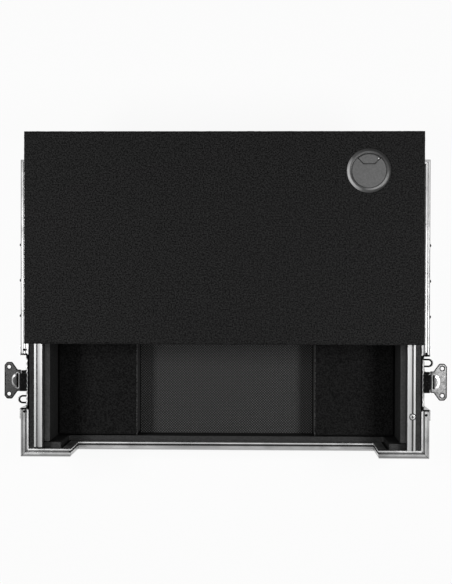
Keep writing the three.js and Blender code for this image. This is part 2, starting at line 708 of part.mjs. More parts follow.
// The wing is a flat plate on a barrel, standing straight out from the wall.
function latchWing() {
  const half = [
    [WING_AXIS_REACH, WING_NECK_HALF_WIDTH],
    [WING_NECK_END, WING_NECK_HALF_WIDTH],
    [WING_NECK_END, WING_ROOT_HALF_WIDTH],
    [WING_ROOT_END, WING_ROOT_HALF_WIDTH],
    [WING_FLARE_END, WING_HALF_WIDTH],
    [WING_TIP - WING_CORNER_RUN, WING_HALF_WIDTH],
    [WING_TIP, WING_HALF_WIDTH - WING_CORNER_CUT],
  ];
  const outline = [...half.map(([x, y]) => [x, -y]), ...half.toReversed()];
  const plate = bar(outline, { u: X, v: Y }, { at: -WING_METAL / 2 }, { at: WING_METAL / 2 });
  const hole = post(about(0, OVERRUN), WING_HOLE_RADIUS).translate(WING_HOLE_REACH, WING_HOLE_FROM_MIDDLE, 0);
  const slot = block(
    about(WING_SLOT_REACH, WING_SLOT_WIDTH / 2),
    about(0, WING_SLOT_LENGTH / 2),
    about(0, OVERRUN),
  );
  const barrel = pinAlongY(about(0, WING_BARREL_HALF_LENGTH), WING_BARREL_RADIUS);
  const pin = pinAlongY(about(0, WING_PIN_HALF_LENGTH), WING_PIN_RADIUS);
  return plate.subtract(hole).subtract(hole.mirror([0, 1, 0])).subtract(slot)
    .add(barrel.add(pin).translate(WING_AXIS_REACH, 0, 0));
}

function latch(side) {
  const group = new THREE.Group();
  group.add(
    part(`${side}_latch_dish`, latchDish(), brightSteel),
    part(`${side}_latch_hook`, latchHook(), darkSteel),
    part(`${side}_latch_drum`, latchDrum(), darkSteel),
    part(`${side}_latch_wing`, latchWing(), brightSteel),
  );
  return group;
}

// Side handles. Each is drawn for the right side, from the well's middle in the wall's outer
// plane, and its bail hangs in the well on two stubs.

function handleDish() {
  const [halfWidth, halfHeight, depth] = [HANDLE_WELL_HALF_WIDTH, HANDLE_WELL_HALF_HEIGHT, HANDLE_WELL_DEPTH];
  const flange = block(
    [-RIM_OUTER_METAL, -RIM_OUTER_METAL + HANDLE_METAL],
    about(0, HANDLE_FLANGE_HALF_WIDTH),
    about(0, HANDLE_FLANGE_HALF_HEIGHT),
  );
  const shell = block(
    [-depth - HANDLE_METAL, -RIM_OUTER_METAL + HANDLE_METAL],
    about(0, halfWidth + HANDLE_METAL),
    about(0, halfHeight + HANDLE_METAL),
  );
  const well = block([-depth, OVERRUN], about(0, halfWidth), about(0, halfHeight));
  const ear = block(
    [-depth - HANDLE_METAL / 2, -HANDLE_PIVOT_DEPTH + HANDLE_EAR_HALF_DEPTH],
    [halfWidth - HANDLE_EAR_THICKNESS, halfWidth + HANDLE_METAL / 2],
    about(HANDLE_PIVOT_RISE, HANDLE_EAR_HALF_HEIGHT),
  );
  const boreEnd = BAIL_STUB_END + GAP;
  const bore = pinAlongY(about(0, boreEnd), BAIL_RADIUS + BAIL_BORE_CLEARANCE)
    .translate(-HANDLE_PIVOT_DEPTH, 0, HANDLE_PIVOT_RISE);
  return flange.add(shell).subtract(well).add(ear).add(ear.mirror([0, 1, 0])).subtract(bore);
}

function handleBail() {
  const [top, bottom] = [HANDLE_PIVOT_RISE, HANDLE_PIVOT_RISE - BAIL_DROP];
  const at = (y, z) => corner(-HANDLE_PIVOT_DEPTH, y, z);
  const corners = [
    at(-BAIL_STUB_END, top),
    at(-BAIL_HALF_WIDTH, top),
    at(-BAIL_HALF_WIDTH, bottom),
    at(BAIL_HALF_WIDTH, bottom),
    at(BAIL_HALF_WIDTH, top),
    at(BAIL_STUB_END, top),
  ];
  return bentRod(corners, BAIL_BEND, BAIL_RADIUS, BAIL_STEPS);
}

function handle(side) {
  const group = new THREE.Group();
  group.add(
    part(`${side}_handle_dish`, handleDish(), brightSteel),
    part(`${side}_handle_bail`, handleBail(), brightSteel),
  );
  return group;
}

// Laptop platform, drawn from the middle of its top face

const grommetPlace = corner(
  PLATFORM_WIDTH / 2 - GROMMET_FROM_RIGHT,
  PLATFORM_DEPTH / 2 - GROMMET_FROM_BACK,
  0,
);

function platformBoard() {
  const roll = PLATFORM_EDGE_RADIUS;
  const [x, y] = [PLATFORM_WIDTH / 2 - roll, PLATFORM_DEPTH / 2 - roll];
  const slab = new THREE.ExtrudeGeometry(outlineShape([[-x, -y], [x, -y], [x, y], [-x, y]]), {
    depth: PLATFORM_THICKNESS - 2 * roll,
    bevelThickness: roll,
    bevelSize: roll,
    bevelSegments: EDGE_STEPS,
  });
  const board = solid(slab.translate(0, 0, roll - PLATFORM_THICKNESS));
  const holeRadius = LINER_TUBE_RADIUS + GAP;
  const seatRadius = LINER_FLANGE_RADIUS + GAP;
  const hole = post([-PLATFORM_THICKNESS - OVERRUN, OVERRUN], holeRadius, holeRadius, FINE_SIDES);
  const seat = post([-LINER_FLANGE_SEAT, OVERRUN], seatRadius, seatRadius, FINE_SIDES);
  return board.subtract(hole.add(seat).translate(grommetPlace.x, grommetPlace.y, 0));
}

// Each leg is a T beam whose foot slides on the rail with a tongue in the rail's groove.
function platformLeg() {
  const x = RAIL_GROOVE_X;
  const top = -PLATFORM_THICKNESS - GAP;
  const flange = top - LEG_FLANGE_THICKNESS;
  const sole = RAIL_Z + GAP - PLATFORM_BOTTOM_Z - PLATFORM_THICKNESS;
  const tongue = RAIL_GROOVE_WIDTH / 2 - GAP;
  const half = [
    [tongue, sole - LEG_TONGUE_DEPTH],
    [tongue, sole],
    [LEG_SHOE_WIDTH / 2, sole],
    [LEG_SHOE_WIDTH / 2, sole + LEG_SHOE_THICKNESS],
    [LEG_WEB / 2, sole + LEG_SHOE_THICKNESS],
    [LEG_WEB / 2, flange],
    [LEG_FLANGE_WIDTH / 2, flange],
    [LEG_FLANGE_WIDTH / 2, top],
  ];
  const outline = [...half.map(([u, v]) => [x + u, v]), ...half.toReversed().map(([u, v]) => [x - u, v])];
  return bar(outline, sideFrame, { at: -LEG_LENGTH / 2 }, { at: LEG_LENGTH / 2 });
}

// Cable grommet, drawn from the middle of its cap's top face: a liner with a turning cap, and
// in the cap a flap that swings down to let cables through

function grommetLiner() {
  const seatRadius = CAP_RADIUS + GAP;
  const seat = -CAP_THICKNESS - GAP;
  const flangeUnder = GAP - LINER_FLANGE_SEAT;
  const section = [
    [LINER_BORE_RADIUS, -LINER_LENGTH],
    [LINER_TUBE_RADIUS, -LINER_LENGTH],
    [LINER_TUBE_RADIUS, flangeUnder],
    [LINER_FLANGE_RADIUS, flangeUnder],
    [LINER_FLANGE_RADIUS, LINER_FLANGE_RISE / 2],
    [LINER_FLANGE_RADIUS - LINER_FLANGE_ROLL, LINER_FLANGE_RISE],
    [seatRadius, LINER_FLANGE_RISE],
    [seatRadius, seat],
    [LINER_BORE_RADIUS, seat],
    [LINER_BORE_RADIUS, -LINER_LENGTH],
  ];
  const ring = new THREE.LatheGeometry(section.map(([r, z]) => new THREE.Vector2(r, z)), FINE_SIDES);
  return solid(ring.rotateX(Math.PI / 2));
}

// The flap's outline, or the notch's: a chord, a slant at 45 degrees on each side and an arc.
function flapOutline(inset, radius) {
  const slant = FLAP_CHORD - FLAP_CHORD_HALF_WIDTH + inset * Math.SQRT2;
  const chordY = FLAP_CHORD + inset;
  const endX = (Math.sqrt(2 * radius ** 2 - slant ** 2) - slant) / 2;
  const start = Math.atan2(endX + slant, endX);
  const shape = new THREE.Shape();
  shape.moveTo(slant - chordY, chordY);
  shape.lineTo(chordY - slant, chordY);
  shape.absarc(0, 0, radius, start, Math.PI - start);
  return shape;
}

const flapAxis = corner(0, FLAP_CHORD + FLAP_AXIS_SETBACK, -FLAP_AXIS_DROP);
const lugOut = LUG_FROM_MIDDLE + LUG_THICKNESS;

function grommetCap() {
  const disc = post([-CAP_THICKNESS, 0], CAP_RADIUS, CAP_RADIUS, FINE_SIDES);
  const outline = flapOutline(0, CAP_RADIUS - CAP_RING_WIDTH);
  const notch = bar(outline, { u: X, v: Y }, { at: -CAP_THICKNESS - OVERRUN }, { at: OVERRUN });
  const boss = pinAlongX([LUG_FROM_MIDDLE, lugOut], LUG_RADIUS).translate(0, flapAxis.y, flapAxis.z);
  const stem = block(
    [LUG_FROM_MIDDLE, lugOut],
    [flapAxis.y - LUG_RADIUS, flapAxis.y],
    [flapAxis.z, -CAP_THICKNESS / 2],
  );
  const lug = boss.add(stem);
  const bore = pinAlongX(about(0, lugOut + OVERRUN), FLAP_PIN_RADIUS + GAP).translate(0, flapAxis.y, flapAxis.z);
  return disc.subtract(notch).add(lug).add(lug.mirror([1, 0, 0])).subtract(bore);
}

function grommetFlap() {
  const outline = flapOutline(FLAP_CLEARANCE, CAP_RADIUS - CAP_RING_WIDTH - FLAP_SWEEP_CLEARANCE);
  const plate = bar(outline, { u: X, v: Y }, { at: -FLAP_THICKNESS }, { at: 0 });
  const web = block(
    about(0, FLAP_CHORD_HALF_WIDTH - FLAP_CLEARANCE),
    [FLAP_CHORD + FLAP_CLEARANCE, flapAxis.y + FLAP_KNUCKLE_RADIUS],
    [flapAxis.z, -FLAP_THICKNESS / 2],
  );
  const knuckle = pinAlongX(about(0, LUG_FROM_MIDDLE - GAP), FLAP_KNUCKLE_RADIUS)
    .add(pinAlongX(about(0, lugOut - GAP), FLAP_PIN_RADIUS));
  return plate.add(web).add(knuckle.translate(0, flapAxis.y, flapAxis.z));
}

// Assembly

const laptopPlatform = new THREE.Group();
const grommet = new THREE.Group();
grommet.position.copy(grommetPlace);
grommet.add(
  part('grommet_liner', grommetLiner(), plastic),
  part('grommet_cap', grommetCap(), plastic),
  part('grommet_flap', grommetFlap(), plastic),
);
laptopPlatform.position.set(0, PLATFORM_Y, PLATFORM_BOTTOM_Z + PLATFORM_THICKNESS);
laptopPlatform.add(part('platform_board', platformBoard(), carpet), grommet);

const model = new THREE.Group();
model.position.y = CASE_SHIFT_Y;
model.add(
  floorPanel(),
  frontWall(),
  backWall(),
  ...rims(),
  ...bottomEdges(),
  ...atCorners('corner_edge', cornerEdge(), aluminium),
  ...atCorners('ball_corner', ballCorner(), brightSteel),
  ...atCorners('foot', foot(), rubber),
  frontLining(),
  backLining(),
  floorMat(),
  laptopPlatform,
);

for (const [side, flip, frontGap] of [['left', -1, LEFT_RAIL_FRONT_GAP], ['right', 1, RIGHT_RAIL_FRONT_GAP]]) {
  const mirrored = [
    sideWall(`${side}_wall`),
    part(`${side}_rail_board`, railBoard(), laminate),
    part(`${side}_rail`, rail(frontGap), aluminium),
    part(`${side}_lining`, sideLining(), foam),
    part(`${side}_bed`, gearBed(), carpet),
  ];
  for (const piece of mirrored) piece.scale.x = flip;
  const leg = part(`platform_${side}_leg`, platformLeg(), aluminium);
  leg.scale.x = flip;
  laptopPlatform.add(leg);

  const turned = [[latch(side), LATCH_Y, LATCH_Z], [handle(side), HANDLE_Y, HANDLE_Z]];
  for (const [group, y, z] of turned) {
    group.position.set(flip * HALF_WIDTH, y, z);
    group.rotation.z = flip < 0 ? Math.PI : 0;
    model.add(group);
  }
  model.add(...mirrored);
}

export default model;
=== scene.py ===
"""An open dj coffin case with a sliding laptop platform, seen from above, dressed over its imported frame."""

import json
import math

import bmesh
import bpy
from mathutils import Matrix, Vector, noise

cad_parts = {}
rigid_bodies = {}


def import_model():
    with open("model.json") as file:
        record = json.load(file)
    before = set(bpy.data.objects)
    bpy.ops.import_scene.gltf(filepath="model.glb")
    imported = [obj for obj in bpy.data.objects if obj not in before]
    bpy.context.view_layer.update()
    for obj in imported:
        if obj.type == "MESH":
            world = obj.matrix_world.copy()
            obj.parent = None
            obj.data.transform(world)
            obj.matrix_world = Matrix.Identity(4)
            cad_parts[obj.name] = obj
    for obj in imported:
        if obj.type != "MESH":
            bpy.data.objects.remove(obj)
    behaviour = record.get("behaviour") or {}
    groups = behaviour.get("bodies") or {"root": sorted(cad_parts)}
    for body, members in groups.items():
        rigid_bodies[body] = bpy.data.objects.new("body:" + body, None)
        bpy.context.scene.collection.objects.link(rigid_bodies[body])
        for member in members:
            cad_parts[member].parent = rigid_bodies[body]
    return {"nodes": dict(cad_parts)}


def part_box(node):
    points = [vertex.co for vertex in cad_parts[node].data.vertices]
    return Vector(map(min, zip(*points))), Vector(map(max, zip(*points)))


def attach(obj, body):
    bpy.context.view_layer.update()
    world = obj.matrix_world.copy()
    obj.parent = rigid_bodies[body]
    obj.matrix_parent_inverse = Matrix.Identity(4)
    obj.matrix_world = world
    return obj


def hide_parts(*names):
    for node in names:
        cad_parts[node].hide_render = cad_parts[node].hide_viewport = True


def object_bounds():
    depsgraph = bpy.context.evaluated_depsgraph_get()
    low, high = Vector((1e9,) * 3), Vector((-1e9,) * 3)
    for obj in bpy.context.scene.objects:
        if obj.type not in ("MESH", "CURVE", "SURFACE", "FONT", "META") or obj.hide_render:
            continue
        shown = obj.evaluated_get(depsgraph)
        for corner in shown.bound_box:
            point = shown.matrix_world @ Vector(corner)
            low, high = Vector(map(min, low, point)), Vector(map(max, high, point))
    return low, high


for leftover in list(bpy.data.objects):
    bpy.data.objects.remove(leftover)
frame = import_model()
cad_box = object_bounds()
nodes = frame["nodes"]

# Camera
# It hangs two metres over the open case and looks almost straight down.
# The lens is a short telephoto, so the deep walls hardly show.
CAMERA_PLACE = (0.05181, 0.03505, 2.0612)
CAMERA_TURNS = (-0.683, 1.492, 0.135)
CAMERA_LENS = 75.495
CAMERA_SENSOR = 36.0

camera_data = bpy.data.cameras.new("camera")
camera_data.sensor_width = CAMERA_SENSOR
camera_data.lens = CAMERA_LENS
camera = bpy.data.objects.new("camera", camera_data)
camera.location = CAMERA_PLACE
camera.rotation_euler = [math.radians(turn) for turn in CAMERA_TURNS]
bpy.context.scene.collection.objects.link(camera)
bpy.context.scene.camera = camera
bpy.context.scene.view_settings.view_transform = "Standard"

# Studio light
# Two small soft boxes hang left and right of the case, a metre up, and pale walls fill the rest.
# The room shows plain white; in bright metal its ceiling mirrors a little darker than its walls.
ROOM_FILL = 0.09
WALL_END = 0.25
CEILING_START = 0.85
CEILING_SHADE = 0.42
SOFT_BOX_POWER = 7.1
SOFT_BOX_SIZE = (0.22, 0.34)
SOFT_BOX_OUT = 0.76
SOFT_BOX_HEIGHT = 1.1
SOFT_BOX_FORWARD = {"left_soft_box": 0.0, "right_soft_box": -0.02}
SOFT_BOX_AIM = 0.15
WHITE = (1, 1, 1, 1)


def add_node(owner, kind, inputs=None, **settings):
    """Adds a node to a finish or world; an input is a value, or the output that feeds it."""
    node = owner.node_tree.nodes.new(kind)
    for setting, value in settings.items():
        setattr(node, setting, value)
    for socket, value in (inputs or {}).items():
        if isinstance(value, bpy.types.NodeSocket):
            owner.node_tree.links.new(value, node.inputs[socket])
        else:
            node.inputs[socket].default_value = value
    return node


def amount_node(owner, operation, *amounts):
    """Works one amount out from others."""
    return add_node(owner, "ShaderNodeMath", dict(enumerate(amounts)), operation=operation).outputs[0]


def mixed_light(owner, share, first, second):
    """Mixes two shaders by a share."""
    inputs = {0: share, 1: first.outputs[0], 2: second.outputs[0]}
    return add_node(owner, "ShaderNodeMixShader", inputs)


def seen_directly_or_mirrored(owner):
    """One where a ray comes from the camera or from a mirror, and nought elsewhere."""
    ray = add_node(owner, "ShaderNodeLightPath").outputs
    either = amount_node(owner, "MAXIMUM", ray["Is Camera Ray"], ray["Is Glossy Ray"])
    return amount_node(owner, "MAXIMUM", either, ray["Is Transmission Ray"])


room = bpy.data.worlds.new("white_room")
room.use_nodes = True
room.node_tree.nodes.clear()
looking = add_node(room, "ShaderNodeTexCoord").outputs["Generated"]
upward = add_node(room, "ShaderNodeSeparateXYZ", {0: looking}).outputs["Z"]
rise = {"From Min": WALL_END, "From Max": CEILING_START, "To Min": 1.0, "To Max": CEILING_SHADE}
wall_or_ceiling = add_node(room, "ShaderNodeMapRange", {"Value": upward, **rise}).outputs[0]
seen = add_node(room, "ShaderNodeLightPath").outputs["Is Camera Ray"]
mirrored_wall = amount_node(room, "MAXIMUM", wall_or_ceiling, seen)
fill_light = add_node(room, "ShaderNodeBackground", {"Color": WHITE, "Strength": ROOM_FILL})
white_wall = add_node(room, "ShaderNodeBackground", {"Color": WHITE, "Strength": mirrored_wall})
room_light = mixed_light(room, seen_directly_or_mirrored(room), fill_light, white_wall)
add_node(room, "ShaderNodeOutputWorld", {"Surface": room_light.outputs[0]})
bpy.context.scene.world = room

for side, name in ((-1, "left_soft_box"), (1, "right_soft_box")):
    soft_box = bpy.data.lights.new(name, "AREA")
    soft_box.shape = "RECTANGLE"
    soft_box.size, soft_box.size_y = SOFT_BOX_SIZE
    soft_box.energy = SOFT_BOX_POWER
    lamp = bpy.data.objects.new(name, soft_box)
    lamp.location = (side * SOFT_BOX_OUT, SOFT_BOX_FORWARD[name], SOFT_BOX_HEIGHT)
    lamp.rotation_euler = (0, side * math.atan2(SOFT_BOX_OUT, SOFT_BOX_HEIGHT - SOFT_BOX_AIM), 0)
    lamp.visible_camera = False
    bpy.context.scene.collection.objects.link(lamp)

# Floor
# A wide sheet of white paper lies under the case and keeps a faint shadow of it.
# From below the paper is clear, so that the feet can be looked at.
PAPER_HALF_WIDTH = 30.0
PAPER_OWN_LIGHT = 0.93
PAPER_WHITE = (0.9, 0.9, 0.9, 1)

paper = bpy.data.materials.new("white_paper")
paper.use_nodes = True
paper.node_tree.nodes.clear()
paper_matt = add_node(paper, "ShaderNodeBsdfDiffuse", {"Color": PAPER_WHITE})
paper_bright = add_node(paper, "ShaderNodeEmission", {"Color": WHITE, "Strength": 1.0})
own_light = amount_node(paper, "MULTIPLY", seen_directly_or_mirrored(paper), PAPER_OWN_LIGHT)
paper_top = mixed_light(paper, own_light, paper_matt, paper_bright)
paper_side = add_node(paper, "ShaderNodeNewGeometry").outputs["Backfacing"]
paper_skin = mixed_light(paper, paper_side, paper_top, add_node(paper, "ShaderNodeBsdfTransparent"))
add_node(paper, "ShaderNodeOutputMaterial", {"Surface": paper_skin.outputs[0]})

sheet_form = bmesh.new()
bmesh.ops.create_grid(sheet_form, x_segments=1, y_segments=1, size=PAPER_HALF_WIDTH)
sheet_mesh = bpy.data.meshes.new("paper_floor")
sheet_form.to_mesh(sheet_mesh)
sheet_form.free()
sheet_mesh.materials.append(paper)
paper_floor = bpy.data.objects.new("paper_floor", sheet_mesh)
bpy.context.scene.collection.objects.link(paper_floor)

# Wall and floor panels
# The five panels are plywood faced on both sides with black stippled laminate.
# They are cut square, and their edges sit inside the aluminium extrusions.
PANEL_NODES = ("floor_panel", "front_wall", "back_wall", "left_wall", "right_wall")
PANEL_EDGE_ROUND = 0.0004
ROUNDED_FROM = math.radians(35)
STIPPLE_DEPTH = 0.00014
SCUFF_GREY = (0.05, 0.05, 0.052, 1)


def start_finish(name, **values):
    """Starts a finish: its own shader, with the values that are the same all over."""
    finish = bpy.data.materials.new(name)
    finish.use_nodes = True
    shader = finish.node_tree.nodes["Principled BSDF"]
    for socket, value in values.items():
        shader.inputs[socket.replace("_", " ")].default_value = value
    return finish, shader


def place_on_piece(finish, scale=(1, 1, 1), turn=(0, 0, 0)):
    """The place on the piece in metres, stretched and turned for a pattern."""
    place = add_node(finish, "ShaderNodeTexCoord").outputs["Object"]
    inputs = {"Vector": place, "Scale": scale, "Rotation": turn}
    return add_node(finish, "ShaderNodeMapping", inputs).outputs[0]


def mottle(finish, place, scale, detail=3.0, roughness=0.55):
    """Cloudy noise from nought to one."""
    inputs = {"Vector": place, "Scale": scale, "Detail": detail, "Roughness": roughness}
    return add_node(finish, "ShaderNodeTexNoise", inputs).outputs[0]


def cells(finish, place, scale):
    """Distance from the middle of each small cell."""
    return add_node(finish, "ShaderNodeTexVoronoi", {"Vector": place, "Scale": scale}).outputs["Distance"]


def greys(finish, amount, *stops):
    """Turns an amount into greys, or into a plain number, by stops of (amount, grey)."""
    ramp = add_node(finish, "ShaderNodeValToRGB", {"Fac": amount})
    steps = ramp.color_ramp.elements
    while len(steps) < len(stops):
        steps.new(1.0)
    for step, (at, grey) in zip(steps, stops):
        step.position = at
        step.color = (grey, grey, grey, 1)
    return ramp.outputs["Color"]


def blended(finish, amount, first, second, blend_type="MIX"):
    """Mixes two colours by an amount."""
    mix = add_node(finish, "ShaderNodeMix", data_type="RGBA", blend_type=blend_type)
    for socket, value in ((0, amount), (6, first), (7, second)):
        if isinstance(value, bpy.types.NodeSocket):
            finish.node_tree.links.new(value, mix.inputs[socket])
        else:
            mix.inputs[socket].default_value = value
    return mix.outputs[2]


def raised(finish, height, depth, below=None):
    """Raises the surface by up to depth, in metres, over another relief."""
    inputs = {"Height": height, "Distance": depth}
    if below is not None:
        inputs["Normal"] = below
    return add_node(finish, "ShaderNodeBump", inputs).outputs[0]


def connect(finish, shader, **outputs):
    """Feeds the shader's sockets from the outputs given."""
    for socket, output in outputs.items():
        finish.node_tree.links.new(output, shader.inputs[socket.replace("_", " ")])


def round_edges(piece, width, segments=2):
    """Takes the sharp edges off a piece."""
    rounding = piece.modifiers.new("edge_round", "BEVEL")
    rounding.width = width
    rounding.segments = segments
    rounding.limit_method = "ANGLE"
    rounding.angle_limit = ROUNDED_FROM


def recoat(node, finish):
    """Gives a solid from the frame its better finish."""
    node.data.materials.clear()
    node.data.materials.append(finish)


def stippled_laminate(name, low, high):
    """Black laminate with a moulded stipple, dulled in clouds and scuffed grey here and there."""
    finish, shader = start_finish(name, Specular_IOR_Level=0.4)
    place = place_on_piece(finish)
    stipple = cells(finish, place, 700)
    scuffs = mottle(finish, place, 35, detail=5)
    tone = mottle(finish, place, 9)
    black = greys(finish, tone, (0.3, low), (0.7, high))
    colour = blended(finish, greys(finish, scuffs, (0.62, 0.0), (0.8, 0.5)), black, SCUFF_GREY)
    gloss = greys(finish, scuffs, (0.35, 0.42), (0.75, 0.62))
    grain = raised(finish, stipple, STIPPLE_DEPTH)
    connect(finish, shader, Base_Color=colour, Roughness=gloss, Normal=grain)
    return finish


black_laminate = stippled_laminate("black_laminate", 0.010, 0.016)
for node_name in PANEL_NODES:
    recoat(nodes[node_name], black_laminate)
    round_edges(nodes[node_name], PANEL_EDGE_ROUND)

# Foam linings
# Four sheets of charcoal foam, ten millimetres thick, are glued to the inside of the walls.
# The front sheet is cut down in the middle, as the front wall is. Faces turned upward take a paler copy of
# the foam as painted light, and the side sheets' tops are paler still, painted light against the rails'
# shadow.
FOAM_NODES = ("front_lining", "back_lining", "left_lining", "right_lining")
FOAM_EDGE_ROUND = 0.0016
FOAM_GRID = 0.007
FOAM_WAVINESS = 0.0003
FOAM_WAVE_SCALE = 22.0
FOAM_PAINTED_TOP_FACING = 0.6
FOAM_BUBBLE_DEPTH = 0.0003
SHARP_ANGLE = 0.6
FLAT_ANGLE = 0.01
WELD_DISTANCE = 0.00001


def cut_into_grid(form, step, axes=(0, 1, 2)):
    """Cuts a form by even planes, so that its faces can be moved a little each."""
    for axis in axes:
        places = [vert.co[axis] for vert in form.verts]
        low, high = min(places), max(places)
        count = int((high - low) / step)
        for index in range(1, count + 1):
            point, normal = Vector(), Vector()
            point[axis] = low + (high - low) * index / (count + 1)
            normal[axis] = 1
            everything = form.verts[:] + form.edges[:] + form.faces[:]
            bmesh.ops.bisect_plane(form, geom=everything, plane_co=point, plane_no=normal)


def copy_of_node(node):
    """A new form with the shape of a solid of the frame."""
    form = bmesh.new()
    form.from_mesh(node.data)
    bmesh.ops.remove_doubles(form, verts=form.verts, dist=WELD_DISTANCE)
    bmesh.ops.dissolve_limit(form, angle_limit=FLAT_ANGLE, verts=form.verts, edges=form.edges)
    return form


def softened(node, radius, steps, grid):
    """A copy of a solid with its sharp edges rounded, cut finely enough to be made uneven."""
    form = copy_of_node(node)
    folds = [edge for edge in form.edges if len(edge.link_faces) == 2]
    sharp = [edge for edge in folds if edge.calc_face_angle(0) > SHARP_ANGLE]
    bmesh.ops.bevel(form, geom=sharp, offset=radius, segments=steps, profile=0.5, affect="EDGES")
    cut_into_grid(form, grid)
    form.normal_update()
    return form


def make_piece(name, form, *finishes, smooth=True):
    """Turns a form into a piece of its own, with its finishes in order."""
    mesh = bpy.data.meshes.new(name)
    bmesh.ops.recalc_face_normals(form, faces=form.faces)
    form.to_mesh(mesh)
    form.free()
    for face in mesh.polygons:
        face.use_smooth = smooth
    for finish in finishes:
        mesh.materials.append(finish)
    piece = bpy.data.objects.new(name, mesh)
    bpy.context.scene.collection.objects.link(piece)
    return piece


def charcoal_foam(name, dark, light):
    """Open-celled foam: fine bubbles over a cloudy grey."""
    finish, shader = start_finish(name, Roughness=0.95, Specular_IOR_Level=0.12)
    place = place_on_piece(finish)
    bubbles = cells(finish, place, 1500)
    tone = mottle(finish, place, 300, detail=4)
    bubbly = greys(finish, bubbles, (0.1, light), (0.8, dark))
    colour = blended(finish, 0.55, bubbly, greys(finish, tone, (0.35, dark), (0.65, light)))
    connect(finish, shader, Base_Color=colour, Normal=raised(finish, bubbles, FOAM_BUBBLE_DEPTH))
    return finish


foam_skin = charcoal_foam("foam_skin", 0.009, 0.028)
foam_top_painted_light = charcoal_foam("foam_top_painted_light_finish", 0.033, 0.064)
foam_side_top_painted_light = charcoal_foam("foam_side_top_painted_light_finish", 0.082, 0.158)
for node_name in FOAM_NODES:
    form = softened(nodes[node_name], FOAM_EDGE_ROUND, 3, FOAM_GRID)
    for vert in form.verts:
        vert.co -= vert.normal * FOAM_WAVINESS * (1 + noise.noise(vert.co * FOAM_WAVE_SCALE))
    # Upward faces take the paler copy of the foam: painted light on the tops.
    for face in form.faces:
        face.material_index = 1 if face.normal.z > FOAM_PAINTED_TOP_FACING else 0
    painted_top_finish = foam_top_painted_light if node_name in ("front_lining", "back_lining") else foam_side_top_painted_light
    sheet = make_piece(node_name.replace("_lining", "_foam"), form, foam_skin, painted_top_finish)
    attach(sheet, "case")
    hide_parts(node_name)

# Carpeted beds
# Two low boxes of board stand left and right on the floor and hold the gear.
# They are wrapped in black needle-felt carpet, glued down. Their sides are painted paler than their tops as
# painted light, and a pale frayed rod along each inner top edge is a painted highlight where light catches
# the fuzz.
BED_NODES = ("left_bed", "right_bed")
BED_EDGE_ROUND = 0.004
BED_GRID = 0.0035
BED_PAINTED_SIDE_FACING = 0.6
PILE_HEIGHT = 0.0004
PILE_SCALE = 900.0
FIBRE_DEPTH = 0.0005
LINT_GREY = (0.06, 0.06, 0.062, 1)
FRAY_RADIUS = 0.0009
FRAY_STEP = 0.003
FRAY_WANDER = 0.0006


def black_carpet(name, dark, light):
    """Needle-felt carpet: fine fibres in soft tufts, with a little pale lint."""
    finish, shader = start_finish(name, Roughness=1.0, Specular_IOR_Level=0.05)
    place = place_on_piece(finish)
    fibre = mottle(finish, place, 1100, detail=2, roughness=0.7)
    tuft = mottle(finish, place, 480, detail=2, roughness=0.6)
    lint = cells(finish, place, 240)
    fine = greys(finish, fibre, (0.3, dark), (0.7, light))
    pile = blended(finish, 0.72, fine, greys(finish, tuft, (0.38, dark), (0.62, light)))
    colour = blended(finish, greys(finish, lint, (0.02, 0.35), (0.07, 0.0)), pile, LINT_GREY)
    relief = raised(finish, fibre, FIBRE_DEPTH, raised(finish, tuft, FIBRE_DEPTH))
    connect(finish, shader, Base_Color=colour, Normal=relief)
    return finish


def circle_turns(steps):
    """Even turns round a circle."""
    return [2 * math.pi * k / steps for k in range(steps)]


def added(form, place, points):
    """Adds points to a form, each given in a place."""
    return [form.verts.new(place @ Vector(point)) for point in points]


def skinned(form, lower, upper, finish=0, first=0):
    """Adds the faces between two rows of points: all round, or open where it starts with the second."""
    for k in range(first, len(lower)):
        form.faces.new((lower[k - 1], lower[k], upper[k], upper[k - 1])).material_index = finish


def rod(form, points, radius, steps):
    """Adds a round wire that follows its points, closed at both ends."""
    rings = []
    across = Vector((0.3, 0.5, 0.8))
    for k, point in enumerate(points):
        ahead = (points[min(k + 1, len(points) - 1)] - points[max(k - 1, 0)]).normalized()
        across = (across - ahead * across.dot(ahead)).normalized()
        spread = [across * math.cos(a) + ahead.cross(across) * math.sin(a) for a in circle_turns(steps)]
        rings.append([form.verts.new(point + arm * radius) for arm in spread])
    for lower, upper in zip(rings, rings[1:]):
        skinned(form, lower, upper)
    form.faces.new(rings[0][::-1])
    form.faces.new(rings[-1])


bed_carpet = black_carpet("bed_carpet", 0.003, 0.022)
bed_side_painted_light = black_carpet("bed_side_painted_light", 0.02, 0.075)
frayed_edge_highlight = black_carpet("frayed_edge_highlight", 0.003, 0.12)
# The pale rod along each inner top edge is a painted highlight on the frayed fuzz.
for node_name in BED_NODES:
    low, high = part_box(node_name)
    inner_x, side = (high.x, -1) if "left" in node_name else (low.x, 1)
    length = high.y - low.y
    count = round(length / FRAY_STEP)
    across, height = inner_x + side * FRAY_RADIUS, high.z - FRAY_RADIUS
    line = [Vector((across, low.y + length * k / count, height)) for k in range(count + 1)]
    for point in line:
        point.x += side * FRAY_WANDER * (1 + noise.noise(point * PILE_SCALE))
        point.z += FRAY_WANDER * noise.noise(point * PILE_SCALE * 2)
    form = bmesh.new()
    rod(form, line, FRAY_RADIUS, 6)
    fray = make_piece(node_name + "_fray_highlight", form, frayed_edge_highlight)
    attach(fray, "case")

for node_name in BED_NODES:
    form = softened(nodes[node_name], BED_EDGE_ROUND, 4, BED_GRID)
    for vert in form.verts:
        vert.co -= vert.normal * PILE_HEIGHT * (0.5 + 0.5 * noise.noise(vert.co * PILE_SCALE))
    # Sideways faces take the paler carpet: painted light on the bed sides.
    for face in form.faces:
        face.material_index = 1 if abs(face.normal.x) > BED_PAINTED_SIDE_FACING else 0
    bed = make_piece(node_name + "_carpet", form, bed_carpet, bed_side_painted_light)
    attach(bed, "case")
    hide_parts(node_name)

